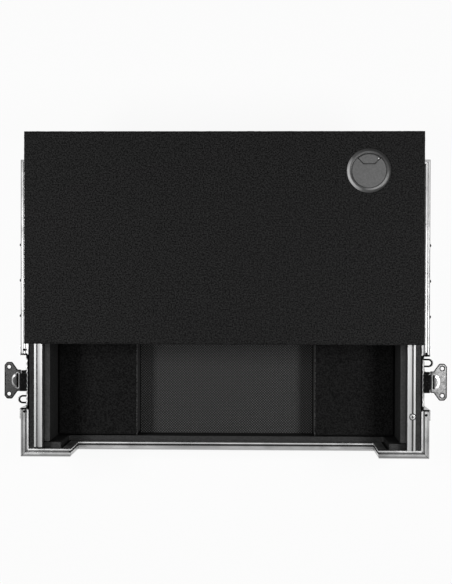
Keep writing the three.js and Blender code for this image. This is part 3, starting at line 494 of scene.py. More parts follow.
# Floor mat
# A woven ribbed mat lies between the beds and covers the floor of the well.
# Its cords cross on the diagonal, and it is only laid in, not glued.
MAT_GRID = 0.0012
MAT_CORD_PITCH = 0.00304
MAT_CORD_HEIGHT = 0.0008
MAT_EDGE_ROUND = 0.0015
MAT_EDGE_STEPS = 3
MAT_STRIPES = 102.0
MAT_WEAVE_DEPTH = 0.0006
MAT_LINT_DEPTH = 0.0003
MAT_WELD_DISTANCE = 0.000001

mat_low, mat_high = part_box("floor_mat")
woven_mat, mat_shader = start_finish("woven_mat", Roughness=0.9, Specular_IOR_Level=0.2)
stripes = []
for quarter in (45, -45):
    lie = place_on_piece(woven_mat, turn=(0, 0, math.radians(quarter)))
    inputs = {"Vector": lie, "Scale": MAT_STRIPES, "Distortion": 0.6, "Detail": 1.0}
    stripes.append(add_node(woven_mat, "ShaderNodeTexWave", inputs, bands_direction="X").outputs["Fac"])
mat_weave = blended(woven_mat, 1.0, *stripes, "MULTIPLY")
mat_lint = mottle(woven_mat, place_on_piece(woven_mat), 700, detail=3)
mat_cords = greys(woven_mat, mat_weave, (0.0, 0.002), (0.75, 0.152))
mat_fibres = greys(woven_mat, mat_lint, (0.35, 0.01), (0.65, 0.09))
mat_relief = raised(woven_mat, mat_weave, MAT_WEAVE_DEPTH, raised(woven_mat, mat_lint, MAT_LINT_DEPTH))
connect(woven_mat, mat_shader, Base_Color=blended(woven_mat, 0.3, mat_cords, mat_fibres), Normal=mat_relief)


def mat_stations(low, high):
    """Places across the mat with the drop of its rounded edge at each: bottom, round edge, even steps."""
    edge = [(0, mat_high.z - mat_low.z)]
    for turn in circle_turns(4 * MAT_EDGE_STEPS)[:MAT_EDGE_STEPS]:
        edge.append((MAT_EDGE_ROUND * (1 - math.cos(turn)), MAT_EDGE_ROUND * (1 - math.sin(turn))))
    span = high - low - 2 * MAT_EDGE_ROUND
    count = round(span / MAT_GRID)
    inner = [(low + MAT_EDGE_ROUND + span * k / count, 0) for k in range(count + 1)]
    far_edge = [(high - inset, drop) for inset, drop in edge[::-1]]
    return [(low + inset, drop) for inset, drop in edge] + inner + far_edge


form = bmesh.new()
mat_wave = 2 * math.pi / MAT_CORD_PITCH * math.sqrt(0.5)
columns = []
for x, side_drop in mat_stations(mat_low.x, mat_high.x):
    column = []
    for y, end_drop in mat_stations(mat_low.y, mat_high.y):
        cord = 0.5 - 0.5 * math.sin(mat_wave * (x + y)) * math.sin(mat_wave * (x - y))
        drop = max(side_drop, end_drop)
        if drop < MAT_EDGE_ROUND:
            drop += MAT_CORD_HEIGHT * cord * (1 - drop / MAT_EDGE_ROUND)
        column.append(form.verts.new((x, y, mat_high.z - drop)))
    columns.append(column)
for left, right in zip(columns, columns[1:]):
    for k in range(1, len(left)):
        form.faces.new((left[k - 1], right[k - 1], right[k], left[k]))
under = columns[0][:-1] + [column[-1] for column in columns[:-1]] + columns[-1][:0:-1]
form.faces.new(under + [column[0] for column in columns[:0:-1]])
bmesh.ops.remove_doubles(form, verts=form.verts, dist=MAT_WELD_DISTANCE)
mat = make_piece("woven_floor_mat", form, woven_mat)
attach(mat, "case")
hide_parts("floor_mat")

# Rims, corner edges and bottom edges
# Extruded aluminium sections grip the panels: a tongue-and-groove rim round the top, plain angles elsewhere.
# They are mitred at the corners, where a thin line of dirt has settled, and riveted through the plywood.

# Each run is named with its pieces, the line it lies along, the line across it, the shares where its outer
# edge, shoulder, crease, flat, groove and lip end, and how bright each of those is painted. These are painted
# reflection and painted shade, darkest in the groove, set run by run to how the light falls on it.
RIM_SHARES = (0.1, 0.24, 0.35, 0.55, 0.8, 1.0)
REAR_LEFT_SHARES = (0.07, 0.17, 0.28, 0.4, 0.56, 1.0)
RIM_RUNS = {
    "left_front_rim": (("rim_left_front",), 1, 0, RIM_SHARES, (0.55, 0.22, 0.24, 0.38, 0.27, 0.7)),
    "left_rear_rim": (("rim_left_rear",), 1, 0, REAR_LEFT_SHARES, (0.3, 0.4, 0.9, 0.12, 0.8, 0.7)),
    "right_front_rim": (("rim_right_front",), 1, 0, RIM_SHARES, (0.4, 0.36, 0.33, 0.54, 0.26, 0.85)),
    "right_rear_rim": (("rim_right_rear",), 1, 0, RIM_SHARES, (0.15, 0.75, 0.08, 0.75, 0.3, 0.6)),
    "front_rim": (("rim_front_left", "rim_front_right"), 0, 1, RIM_SHARES, (0.9, 0.4, 0.42, 0.62, 0.17, 1.0)),
    "low_rim": (("rim_front_center",), 0, 1, RIM_SHARES, (0.8, 0.7, 0.7, 0.65, 0.05, 1.0)),
    "back_rim": (("rim_back",), 0, 1, RIM_SHARES, (0.6, 0.9, 0.4, 0.9, 0.25, 1.0)),
    "step_rim": (("rim_step_left", "rim_step_right"), 2, 1, RIM_SHARES, (0.6, 0.5, 0.4, 0.6, 0.15, 0.9)),
}
RIM_WIDTH = 0.0127
RIM_BLEND = 0.04
RIM_LEG_SHADE = 0.62
RIM_TOP_DEPTH = 0.0036
RIM_TOP_BLEND = 0.0006
EDGE_ALONG = {
    "bottom_edge_front": 0,
    "bottom_edge_back": 0,
    "bottom_edge_left": 1,
    "bottom_edge_right": 1,
    "corner_edge_front_left": 2,
    "corner_edge_front_right": 2,
    "corner_edge_rear_left": 2,
    "corner_edge_rear_right": 2,
}
EXTRUSION_EDGE_ROUND = 0.0004
MITRE_SHARES = (0.08, 0.3, 0.6, 0.92)
MITRE_SEAM_RADIUS = 0.0003
DIE_LINE_STRETCH = 0.006
DIE_LINE_DEPTH = 0.00001


def drawn_aluminium(name, along, dark=0.42, light=0.62, smooth=0.26, rough=0.42):
    """Satin aluminium with the fine lines that the die leaves along its length."""
    finish, shader = start_finish(name, Metallic=1.0)
    stretch = [1.0, 1.0, 1.0]
    stretch[along] = DIE_LINE_STRETCH
    lines = mottle(finish, place_on_piece(finish, scale=stretch), 900, detail=3, roughness=0.7)
    bands = mottle(finish, place_on_piece(finish, scale=stretch), 260, detail=1)
    handling = mottle(finish, place_on_piece(finish), 40, detail=2, roughness=0.5)
    drawn = greys(finish, lines, (0.3, dark), (0.7, light))
    sheen = blended(finish, 0.5, drawn, greys(finish, bands, (0.35, dark), (0.65, light)))
    dull = (dark * 0.8, dark * 0.8, dark * 0.8, 1)
    colour = blended(finish, greys(finish, handling, (0.58, 0.0), (0.8, 0.3)), sheen, dull)
    gloss = greys(finish, handling, (0.3, smooth), (0.75, rough))
    connect(finish, shader, Base_Color=colour, Roughness=gloss, Normal=raised(finish, lines, DIE_LINE_DEPTH))
    return finish


def base_of(finish):
    """The shader of a finish, and the colour that feeds it so far."""
    shader = finish.node_tree.nodes["Principled BSDF"]
    return shader, shader.inputs["Base Color"].links[0].from_socket


def place_along(finish, axis):
    """How far a point of the piece lies along one line of the case; sideways counts from the middle."""
    place = add_node(finish, "ShaderNodeTexCoord").outputs["Object"]
    along = add_node(finish, "ShaderNodeSeparateXYZ", {0: place}).outputs["XYZ"[axis]]
    if axis:
        return along
    return amount_node(finish, "ABSOLUTE", along)


def share_between(finish, amount, start, end):
    """Nought at the start and one at the end."""
    inputs = {"Value": amount, "From Min": start, "From Max": end}
    return add_node(finish, "ShaderNodeMapRange", inputs).outputs[0]


def paint_light_and_shade(finish, shade):
    """Multiplies a finish's colour by a shade that changes over the piece, as painted light and painted
    shade.
    """
    shader, plain = base_of(finish)
    connect(finish, shader, Base_Color=blended(finish, 1.0, plain, shade, "MULTIPLY"))


for run, (node_names, along, across, shares, shades) in RIM_RUNS.items():
    low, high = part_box(node_names[0])
    start, end = low[across], low[across] + RIM_WIDTH
    if across == 0:
        start, end = max(abs(low.x), abs(high.x)), max(abs(low.x), abs(high.x)) - RIM_WIDTH
    if run == "back_rim":
        start, end = high[across], high[across] - RIM_WIDTH
    rim_aluminium = drawn_aluminium(run + "_aluminium", along, dark=0.75, light=1.0)
    share = share_between(rim_aluminium, place_along(rim_aluminium, across), start, end)
    # The bands painted across the top are painted reflection and painted shade.
    steps = []
    for shade_start, shade_end, shade in zip((0, *shares), shares, shades):
        steps += [(shade_start + RIM_BLEND / 2, shade), (shade_end - RIM_BLEND / 2, shade)]
    shade = greys(rim_aluminium, share, *steps)
    if along != 2:
        top = high.z - RIM_TOP_DEPTH
        on_top = share_between(rim_aluminium, place_along(rim_aluminium, 2), top - RIM_TOP_BLEND, top)
        shade = blended(rim_aluminium, on_top, (RIM_LEG_SHADE, RIM_LEG_SHADE, RIM_LEG_SHADE, 1), shade)
    paint_light_and_shade(rim_aluminium, shade)
    for node_name in node_names:
        recoat(nodes[node_name], rim_aluminium)
        round_edges(nodes[node_name], EXTRUSION_EDGE_ROUND)

for node_name, along in EDGE_ALONG.items():
    recoat(nodes[node_name], drawn_aluminium(node_name + "_aluminium", along))
    round_edges(nodes[node_name], EXTRUSION_EDGE_ROUND)

form = bmesh.new()
rim_low, rim_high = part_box("rim_left_front")
front_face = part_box("rim_front_left")[0].y
for side in (-1, 1):
    outer = Vector((side * -rim_low.x, front_face, rim_high.z))
    inward = Vector((-side, 1, 0))
    seam = [outer + inward * RIM_WIDTH * share for share in MITRE_SHARES]
    rod(form, seam, MITRE_SEAM_RADIUS, 8)
mitre_dirt = black_carpet("mitre_dirt", 0.02, 0.12)
mitres = make_piece("rim_mitre_seams", form, mitre_dirt)
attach(mitres, "case")

# Rivets
# Split rivets with low domed heads hold the angles, corners and dishes to the panels.
# Their heads are bright zinc, a little darker where they have been hammered.
RIVET_HEAD_RADIUS = 0.0032
RIVET_HEAD_HEIGHT = 0.0013
RIVET_DOME = (0.0, 0.35, 0.7, 1.05, 1.35)
ZINC_GRAIN_DEPTH = 0.00003
RIVET_STEPS = 16
EDGE_RIVET_INSET = 0.045
EDGE_RIVET_COUNT = 5
EDGE_RIVET_FROM_INSIDE = 0.0125


def turned(form, profile, place, steps, closed=False):
    """Turns a profile of (radius, height) about the upward line of a place, as on a lathe."""
    rings = []
    for radius, height in profile:
        turns = circle_turns(steps) if radius else [0]
        points = [(radius * math.cos(a), radius * math.sin(a), height) for a in turns]
        rings.append(added(form, place, points))
    for lower, upper in zip(rings, rings[1:] + rings[:1] * closed):
        for k in range(steps):
            way_round = ((lower, k), (lower, k + 1), (upper, k + 1), (upper, k))
            corners = list(dict.fromkeys(ring[step % len(ring)] for ring, step in way_round))
            if len(corners) > 2:
                form.faces.new(corners)


def facing(point, outward):
    """A place at a point, whose upward line is turned to face outward."""
    return Matrix.Translation(point) @ Vector(outward).to_track_quat("Z", "Y").to_matrix().to_4x4()


def rivet_head(form, point, outward, radius=RIVET_HEAD_RADIUS, height=RIVET_HEAD_HEIGHT):
    """Adds a domed rivet head at a point."""
    dome = [(radius * math.cos(a), height * math.sin(a)) for a in RIVET_DOME]
    profile = [(0, -height), (radius, -height)] + dome + [(0, height)]
    turned(form, profile, facing(point, outward), RIVET_STEPS)


def zinc_steel(name, dark, light, smooth=0.25, rough=0.45):
    """Zinc-plated pressed steel: bright, with a mottled bloom and fine scratches."""
    finish, shader = start_finish(name, Metallic=1.0)
    place = place_on_piece(finish)
    bloom = mottle(finish, place, 160, detail=4)
    grain = mottle(finish, place, 1500, detail=2)
    wiped = place_on_piece(finish, scale=(1, 0.05, 1), turn=(0.3, 0.2, 0.6))
    scratches = mottle(finish, wiped, 1400, detail=2)
    cloudy = greys(finish, bloom, (0.32, dark), (0.68, light))
    colour = blended(finish, 0.35, cloudy, greys(finish, grain, (0.3, dark), (0.7, light)))
    gloss = greys(finish, bloom, (0.3, rough), (0.7, smooth))
    relief = raised(finish, scratches, ZINC_GRAIN_DEPTH, raised(finish, grain, ZINC_GRAIN_DEPTH))
    connect(finish, shader, Base_Color=colour, Roughness=gloss, Normal=relief)
    return finish


bright_zinc = zinc_steel("bright_zinc", 0.42, 0.66)
form = bmesh.new()
middle = sum(cad_box, Vector()) / 2
for node_name, along in EDGE_ALONG.items():
    low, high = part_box(node_name)
    across = [axis for axis in (0, 1, 2) if axis != along]
    count, inset = (2, EDGE_RIVET_INSET / 2) if along == 2 else (EDGE_RIVET_COUNT, EDGE_RIVET_INSET)
    start, end = low[along] + inset, high[along] - inset
    for index in range(count):
        for out, flat in (across, across[::-1]):
            outward = Vector()
            outward[out] = 1 if (low[out] + high[out]) / 2 > middle[out] else -1
            point = Vector()
            point[along] = start + (end - start) * index / (count - 1)
            point[out] = high[out] if outward[out] > 0 else low[out]
            edge, away = (low, 1) if (low[flat] + high[flat]) / 2 > middle[flat] else (high, -1)
            point[flat] = edge[flat] + away * EDGE_RIVET_FROM_INSIDE
            rivet_head(form, point, outward)
edge_rivets = make_piece("edge_rivets", form, bright_zinc)
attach(edge_rivets, "case")

# Ball corners
# A pressed steel corner with a hollow ball covers each of the four lower corners.
# Six rivets hold its three plates over the aluminium angles.
CORNER_NODES = [f"ball_corner_{end}_{side}" for end in ("front", "rear") for side in ("left", "right")]
CORNER_PLATE_METAL = 0.0023
CORNER_RIVET_FAR = 0.036
CORNER_RIVET_NEAR = 0.012
CORNER_EDGE_ROUND = 0.0012

side_low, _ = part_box("bottom_edge_left")
plate = Vector([CORNER_PLATE_METAL] * 3)
edge_low = Vector((side_low.x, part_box("bottom_edge_front")[0].y, side_low.z)) - plate
edge_high = Vector((-edge_low.x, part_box("bottom_edge_back")[1].y + CORNER_PLATE_METAL, 0))
form = bmesh.new()
for node_name in CORNER_NODES:
    recoat(nodes[node_name], bright_zinc)
    round_edges(nodes[node_name], CORNER_EDGE_ROUND, segments=3)
    inward = Vector((-1 if "right" in node_name else 1, -1 if "rear" in node_name else 1, 1))
    point = Vector([edge_low[axis] if inward[axis] > 0 else edge_high[axis] for axis in (0, 1, 2)])
    for axis in (0, 1, 2):
        first, second = [other for other in (0, 1, 2) if other != axis]
        for far, near in ((first, second), (second, first)):
            spot = point.copy()
            spot[far] += inward[far] * CORNER_RIVET_FAR
            spot[near] += inward[near] * CORNER_RIVET_NEAR
            outward = Vector()
            outward[axis] = -inward[axis]
            rivet_head(form, spot, outward)
corner_rivets = make_piece("corner_rivets", form, bright_zinc)
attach(corner_rivets, "case")

# Feet
# Four black rubber feet are screwed up into the floor panel.
# Each has a rolled edge, a ring of grip ribs round its side and a steel screw and washer in its well.
FOOT_NODES = [f"foot_{end}_{side}" for end in ("front", "rear") for side in ("left", "right")]
FOOT_TOP_RADIUS = 0.019
FOOT_BOTTOM_RADIUS = 0.016
FOOT_HEIGHT = 0.0137
FOOT_WELL_RADIUS = 0.0065
FOOT_WELL_DEPTH = 0.009
FOOT_ROLL = 0.0015
FOOT_ROLL_BULGE = 0.00045
FOOT_RIB_COUNT = 40
FOOT_RIB_DEPTH = 0.0005
RUBBER_GRAIN_DEPTH = 0.0001
WASHER_RADIUS = 0.0062
WASHER_METAL = 0.0010
SCREW_HEAD_RADIUS = 0.0042
SCREW_HEAD_HEIGHT = 0.0018
SCREW_STEPS = 32
SCREW_DOME_SHARES = ((1.0, 0.0), (0.97, 0.45), (0.8, 0.85))
CROSS_ARM_SHARE = 0.62
CROSS_WAIST_SHARE = 0.272
CROSS_FLOOR_SHARE = 0.75
CROSS_SINK_SHARE = 0.8


def disc(radius, height):
    """The profile of a flat round disc."""
    return [(0, 0), (radius, 0), (radius, height), (0, height)]


def screw_head(form, place, radius=SCREW_HEAD_RADIUS, height=SCREW_HEAD_HEIGHT):
    """Adds a low domed screw head; its cross recess takes the piece's second finish."""
    quarter = SCREW_STEPS // 4
    on_arm = (0, 1, quarter - 1)
    cross = [CROSS_ARM_SHARE if k % quarter in on_arm else CROSS_WAIST_SHARE for k in range(SCREW_STEPS)]
    rows = [([share] * SCREW_STEPS, rise) for share, rise in SCREW_DOME_SHARES]
    rows += [(cross, 1.0), ([share * CROSS_FLOOR_SHARE for share in cross], 1.0 - CROSS_SINK_SHARE)]
    rings = []
    turns = circle_turns(SCREW_STEPS)
    for shares, rise in rows:
        ring = [(share * math.cos(a), share * math.sin(a)) for share, a in zip(shares, turns)]
        rings.append(added(form, place, [(radius * x, radius * y, height * rise) for x, y in ring]))
    for lower, upper in zip(rings, rings[1:]):
        skinned(form, lower, upper, 1 if upper is rings[-1] else 0)
    form.faces.new(rings[-1]).material_index = 1
    form.faces.new(rings[0][::-1])


# A near-black zinc for cross recesses and screw shadows: painted shade.
screw_recess_painted_shade = zinc_steel("screw_recess_painted_shade", 0.01, 0.05)
rubber, rubber_shader = start_finish("black_rubber", Specular_IOR_Level=0.3)
rubber_place = place_on_piece(rubber)
rubber_dust = mottle(rubber, rubber_place, 180, detail=5)
rubber_grain = mottle(rubber, rubber_place, 2200, detail=2)
connect(
    rubber,
    rubber_shader,
    Base_Color=greys(rubber, rubber_dust, (0.35, 0.012), (0.75, 0.035)),
    Roughness=greys(rubber, rubber_dust, (0.3, 0.55), (0.7, 0.8)),
    Normal=raised(rubber, rubber_grain, RUBBER_GRAIN_DEPTH),
)

screw_form = bmesh.new()
for node_name in FOOT_NODES:
    low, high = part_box(node_name)
    middle = Vector(((low.x + high.x) / 2, (low.y + high.y) / 2, 0))
    form = bmesh.new()
    profile = [
        (0, FOOT_WELL_DEPTH),
        (FOOT_WELL_RADIUS, FOOT_WELL_DEPTH),
        (FOOT_WELL_RADIUS, FOOT_ROLL),
        (FOOT_WELL_RADIUS + FOOT_ROLL_BULGE, FOOT_ROLL_BULGE),
        (FOOT_WELL_RADIUS + FOOT_ROLL, 0),
        (FOOT_BOTTOM_RADIUS - FOOT_ROLL, 0),
        (FOOT_BOTTOM_RADIUS - FOOT_ROLL_BULGE, FOOT_ROLL_BULGE),
        (FOOT_BOTTOM_RADIUS, FOOT_ROLL),
        (FOOT_TOP_RADIUS - FOOT_ROLL_BULGE, FOOT_HEIGHT - FOOT_ROLL),
        (FOOT_TOP_RADIUS - FOOT_ROLL, FOOT_HEIGHT),
        (0, FOOT_HEIGHT),
    ]
    turned(form, profile, Matrix.Translation(middle), FOOT_RIB_COUNT * 4)
    for vert in form.verts:
        out = (vert.co - middle).to_2d()
        if out.length > FOOT_BOTTOM_RADIUS - FOOT_ROLL / 2 and vert.co.z < FOOT_HEIGHT:
            groove = 0.5 - 0.5 * math.cos(FOOT_RIB_COUNT * math.atan2(out.y, out.x))
            vert.co -= (out.normalized() * FOOT_RIB_DEPTH * groove).to_3d()
    foot = make_piece("rubber_" + node_name, form, rubber)
    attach(foot, "case")
    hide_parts(node_name)
    downward = facing(middle + Vector((0, 0, FOOT_WELL_DEPTH)), (0, 0, -1))
    turned(screw_form, disc(WASHER_RADIUS, WASHER_METAL), downward, SCREW_STEPS)
    screw_head(screw_form, downward @ Matrix.Translation((0, 0, WASHER_METAL)))
foot_screws = make_piece("foot_screws", screw_form, bright_zinc, screw_recess_painted_shade, smooth=False)
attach(foot_screws, "case")

# Rear corner braces
# A folded steel brace wraps each rear upright corner just under the rim.
# Four rivets hold it, two on each wall.
BRACE_REACH = 0.058
BRACE_BELOW_RIM = 0.026
BRACE_HEIGHT = 0.034
BRACE_METAL = 0.0014
BRACE_CORNER_ROUND = 0.006
BRACE_RIVET_FROM_END = 0.009
BRACE_RIVET_SHARES = (0.25, 0.75)
BRACE_GAP = 0.0001
BRACE_EDGE_ROUND = 0.0003
ROUND_STEPS = 5
ROUND_MOST_SHARE = 0.49


def cut_plate(form, place, metal, outline, holes=()):
    """Adds a flat plate: an outline with holes in the flat of a place, thickened along its upward line."""
    edges = []
    for loop in (outline, *holes):
        corners = added(form, place, [(x, y, 0) for x, y in loop])
        edges += [form.edges.new((corners[k - 1], corners[k])) for k in range(len(corners))]
    filled = bmesh.ops.triangle_fill(form, use_beauty=True, use_dissolve=False, edges=edges)["geom"]
    faces = [part for part in filled if isinstance(part, bmesh.types.BMFace)]
    grown = bmesh.ops.extrude_face_region(form, geom=faces, use_keep_orig=True)["geom"]
    top = [part for part in grown if isinstance(part, bmesh.types.BMVert)]
    bmesh.ops.translate(form, vec=(place.to_3x3() @ Vector((0, 0, 1))) * metal, verts=top)


def rounded_outline(corners, radii):
    """Rounds each corner of an outline by a radius of its own."""
    outline = []
    for k, (corner, radius) in enumerate(zip(corners, radii)):
        here = Vector(corner)
        if not radius:
            outline.append(tuple(here))
            continue
        before, after = Vector(corners[k - 1]) - here, Vector(corners[(k + 1) % len(corners)]) - here
        most = ROUND_MOST_SHARE * min(before.length, after.length)
        reach = min(radius / math.tan(before.angle(after) / 2), most)
        start, end = here + before.normalized() * reach, here + after.normalized() * reach
        for step in range(ROUND_STEPS + 1):
            t = step / ROUND_STEPS
            outline.append(tuple(start * (1 - t) ** 2 + here * (2 * t * (1 - t)) + end * t**2))
    return outline


def flat_place(origin, along, upward):
    """A place whose first line runs along and whose third line runs upward."""
    z = Vector(upward).normalized()
    x = Vector(along).normalized()
    turn = Matrix((x, z.cross(x), z)).transposed()
    return Matrix.Translation(origin) @ turn.to_4x4()


corner_low, corner_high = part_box("corner_edge_rear_right")
rim_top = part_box("rim_back")[1].z
form = bmesh.new()
for side in (-1, 1):
    corner = Vector((side * corner_high.x, corner_high.y, rim_top - BRACE_BELOW_RIM - BRACE_HEIGHT))
    for along, outward in (((0, -1, 0), (side, 0, 0)), ((-side, 0, 0), (0, 1, 0))):
        place = flat_place(corner + Vector(outward) * BRACE_GAP, along, outward)
        up = 1 if (place.to_3x3() @ Vector((0, 1, 0))).z > 0 else -1
        top = up * BRACE_HEIGHT
        corners = [(-BRACE_METAL, 0), (BRACE_REACH, 0), (BRACE_REACH, top), (-BRACE_METAL, top)]
        outline = rounded_outline(corners, [0, BRACE_CORNER_ROUND, BRACE_CORNER_ROUND, 0])
        cut_plate(form, place, BRACE_METAL, outline)
        for share in BRACE_RIVET_SHARES:
            spot = place @ Vector((BRACE_REACH - BRACE_RIVET_FROM_END, top * share, BRACE_METAL))
            rivet_head(form, spot, outward)
braces = make_piece("rear_corner_braces", form, bright_zinc, smooth=False)
round_edges(braces, BRACE_EDGE_ROUND)
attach(braces, "case")

# Rail boards
# A plywood strip covered in black felt stands inside each side wall and carries the rail.
# Its top is what shows between the rim and the rail.
BOARD_NODES = ("left_rail_board", "right_rail_board")
# The right board's felt is paler than the left's: painted light on that side.
BOARD_FELT_AND_PAINTED_LIGHT_TONES = ((0.024, 0.06), (0.03, 0.095))
BOARD_EDGE_ROUND = 0.0008

for node_name, felt_tones in zip(BOARD_NODES, BOARD_FELT_AND_PAINTED_LIGHT_TONES):
    recoat(nodes[node_name], black_carpet(node_name + "_felt", *felt_tones))
    round_edges(nodes[node_name], BOARD_EDGE_ROUND)

# Rails
# An extruded aluminium rail with a guide groove lies along each side, under the platform's glides.
# Countersunk cross-head screws hold it down; one of them shows in front of the platform.

# The shades are painted reflection and painted shade of the outer edge, its flank, the groove, the inner
# flank and the inner edge, with a thin painted shadow along the outer edge.
RAIL_PAINTED_SHADES = {
    "left_rail": (0.56, 0.44, 0.19, 0.3, 0.56),
    "right_rail": (0.6, 0.55, 0.09, 0.42, 0.6),
}
RAIL_TONES = {"dark": 0.9, "light": 1.0, "smooth": 0.32, "rough": 0.36}
RAIL_PAINTED_SHADOW_EDGE = 0.03
RAIL_EDGE_ROUND = 0.0003
RAIL_SCREWS = {"left_rail": (0.0, 0.095, 0.185), "right_rail": (-0.17955, 0.0, 0.095, 0.185)}
RAIL_SCREW_RADIUS = 0.0041
RAIL_SCREW_HEIGHT = 0.0006
RAIL_SCREW_SHADED_EYE = 0.0013
COUNTERSINK_SHADOW_RADIUS = 0.0054
COUNTERSINK_RISE = 0.0002
RAIL_SCREW_SHADED_EYE_RISE = 0.00074
RAIL_GROOVE_CENTRE = 0.2908
RAIL_GROOVE_HALF_WIDTH = 0.0015


def second_finish(form, known):
    """Gives the faces of a form their second finish, apart from those that were known before."""
    for face in set(form.faces) - known:
        face.material_index = 1


form = bmesh.new()
for node_name, (outer, outer_flank, groove, inner_flank, inner) in RAIL_PAINTED_SHADES.items():
    low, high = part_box(node_name)
    side = -1 if "left" in node_name else 1
    end, start = sorted((abs(low.x), abs(high.x)))
    groove_middle = start - RAIL_GROOVE_CENTRE
    groove_start, groove_end = [
        (groove_middle + edge * RAIL_GROOVE_HALF_WIDTH) / (start - end) for edge in (-1, 1)
    ]
    rail_aluminium = drawn_aluminium(node_name + "_aluminium", 1, **RAIL_TONES)
    share = share_between(rail_aluminium, place_along(rail_aluminium, 0), start, end)
    steps = [(0.0, 0.0), (RAIL_PAINTED_SHADOW_EDGE, 0.0), (RAIL_PAINTED_SHADOW_EDGE * 2, outer)]
    steps += [(groove_start, outer_flank), (groove_start + RIM_BLEND, groove)]
    steps += [(groove_end - RIM_BLEND, groove), (groove_end, inner_flank), (1.0, inner)]
    paint_light_and_shade(rail_aluminium, greys(rail_aluminium, share, *steps))
    recoat(nodes[node_name], rail_aluminium)
    round_edges(nodes[node_name], RAIL_EDGE_ROUND)
    # A dark disc round each head is painted shadow in the countersink, and a dark eye on the head is painted
    # shade in its recess.
    for along in RAIL_SCREWS[node_name]:
        place = Matrix.Translation((side * RAIL_GROOVE_CENTRE, along, high.z - COUNTERSINK_RISE / 2))
        on_head = place @ Matrix.Translation((0, 0, RAIL_SCREW_SHADED_EYE_RISE))
        known = set(form.faces)
        turned(form, disc(COUNTERSINK_SHADOW_RADIUS, COUNTERSINK_RISE), place, SCREW_STEPS)
        turned(form, disc(RAIL_SCREW_SHADED_EYE, COUNTERSINK_RISE), on_head, RIVET_STEPS)
        second_finish(form, known)
        seat = place @ Matrix.Translation((0, 0, COUNTERSINK_RISE))
        screw_head(form, seat, RAIL_SCREW_RADIUS, RAIL_SCREW_HEIGHT)
rail_screws = make_piece("rail_screws", form, bright_zinc, screw_recess_painted_shade, smooth=False)
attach(rail_screws, "case")

# Latch dishes
# A pressed steel dish sinks each butterfly latch into its side wall, and is open at the top for the hook.
# Its flange is riveted to the wall with five rivets, along its foot and its two sides.
LATCH_AXIS_HEIGHT = 0.134
DISH_FLANGE_METAL = 0.0015
DISH_FLANGE_FACE = 0.0017
DISH_FLANGE_RIVETS = ((-0.0498, -0.018), (-0.0498, -0.054), (0, -0.054), (0.0498, -0.054), (0.0498, -0.018))
DISH_EDGE_ROUND = 0.0006

dish_zinc = zinc_steel("dish_zinc", 0.3, 0.55)
form = bmesh.new()
latch_spots = {}
for side_name, side in (("left", -1), ("right", 1)):
    dish = nodes[side_name + "_latch_dish"]
    recoat(dish, dish_zinc)
    round_edges(dish, DISH_EDGE_ROUND)
    low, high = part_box(side_name + "_latch_dish")
    wall = side * (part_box("right_wall")[1].x + DISH_FLANGE_METAL)
    middle = Vector((wall, (low.y + high.y) / 2, LATCH_AXIS_HEIGHT))
    latch_spots[side_name] = flat_place(middle, (side, 0, 0), (0, 0, 1))
    for across, rise in DISH_FLANGE_RIVETS:
        spot = middle + Vector((side * DISH_FLANGE_FACE, across, rise))
        rivet_head(form, spot, (side, 0, 0))
dish_rivets = make_piece("latch_dish_rivets", form, bright_zinc)
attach(dish_rivets, "case")

# Latch hooks and drums
# The drum turns in the dish, and its crank pin draws the hook down over the lid's catch.
# Both are painted near-black, as painted shade and a painted dark reflection on their plated steel, with pale
# flecks as painted glints.
BLACK_STEEL_EDGE_ROUND = 0.0005
BLACK_STEEL_GRAIN_DEPTH = 0.00015

black_steel_and_painted_shade, black_steel_and_painted_shade_shader = start_finish("black_steel_and_painted_shade", Specular_IOR_Level=0.04)
black_place = place_on_piece(black_steel_and_painted_shade)
black_bloom = mottle(black_steel_and_painted_shade, black_place, 300, detail=5)
connect(
    black_steel_and_painted_shade,
    black_steel_and_painted_shade_shader,
    Base_Color=greys(black_steel_and_painted_shade, black_bloom, (0.45, 0.001), (0.6, 0.005), (0.72, 0.06)),
    Roughness=greys(black_steel_and_painted_shade, black_bloom, (0.3, 0.5), (0.7, 0.65)),
    Normal=raised(black_steel_and_painted_shade, black_bloom, BLACK_STEEL_GRAIN_DEPTH),
)
for side_name in ("left", "right"):
    for part_name in ("_latch_hook", "_latch_drum"):
        recoat(nodes[side_name + part_name], black_steel_and_painted_shade)
        round_edges(nodes[side_name + part_name], BLACK_STEEL_EDGE_ROUND)

# Padlock loops, dish beads and rim nails
# A black wire loop beside each latch takes a padlock. A black rod at each cut end of the rim is painted
# shadow on the dish's rolled edge.
# A wavy zinc wire is soldered along the back of the dish, and small nails hold the ends of the rim; their
# black heads are painted shade in the groove.
LOOP_FROM_AXIS = 0.030
LOOP_BEND = 0.00535
LOOP_BEND_MIDDLE = 0.0020
LOOP_ROOT = -0.0094
LOOP_WIRE = 0.0014
LOOP_STEPS = 16
BEAD_RISE = 0.0305
SHADOW_BEAD_REAR = 0.0431
SHADOW_BEAD_FRONT = 0.0417
SHADOW_BEAD_BACK = -0.0102
SHADOW_BEAD_BEND = 0.0022
SHADOW_BEAD_RUN = 0.006
SHADOW_BEAD_RADIUS = 0.0013
SHADOW_BEAD_OUT = -0.0003
SHADOW_BEAD_STEPS = 4
RIM_NAILS = ((-0.3116, -0.0785), (-0.3116, -0.1745), (0.3124, -0.0824), (0.3124, -0.1775))
RIM_NAIL_RADIUS = 0.0021
RIM_NAIL_HEIGHT = 0.0008
RIM_NAIL_SINK = 0.0001
WAVE_WIRE = 0.0009
WAVE_BACK = -0.0103
WAVE_HALF_LENGTH = 0.037
WAVE_HEIGHT = 0.0006
WAVE_LENGTH = 0.0078
WAVE_STEPS = 96


def arc(middle, radius, turns):
    """The points of an arc at the turns given."""
    return [(middle[0] + radius * math.cos(turn), middle[1] + radius * math.sin(turn)) for turn in turns]


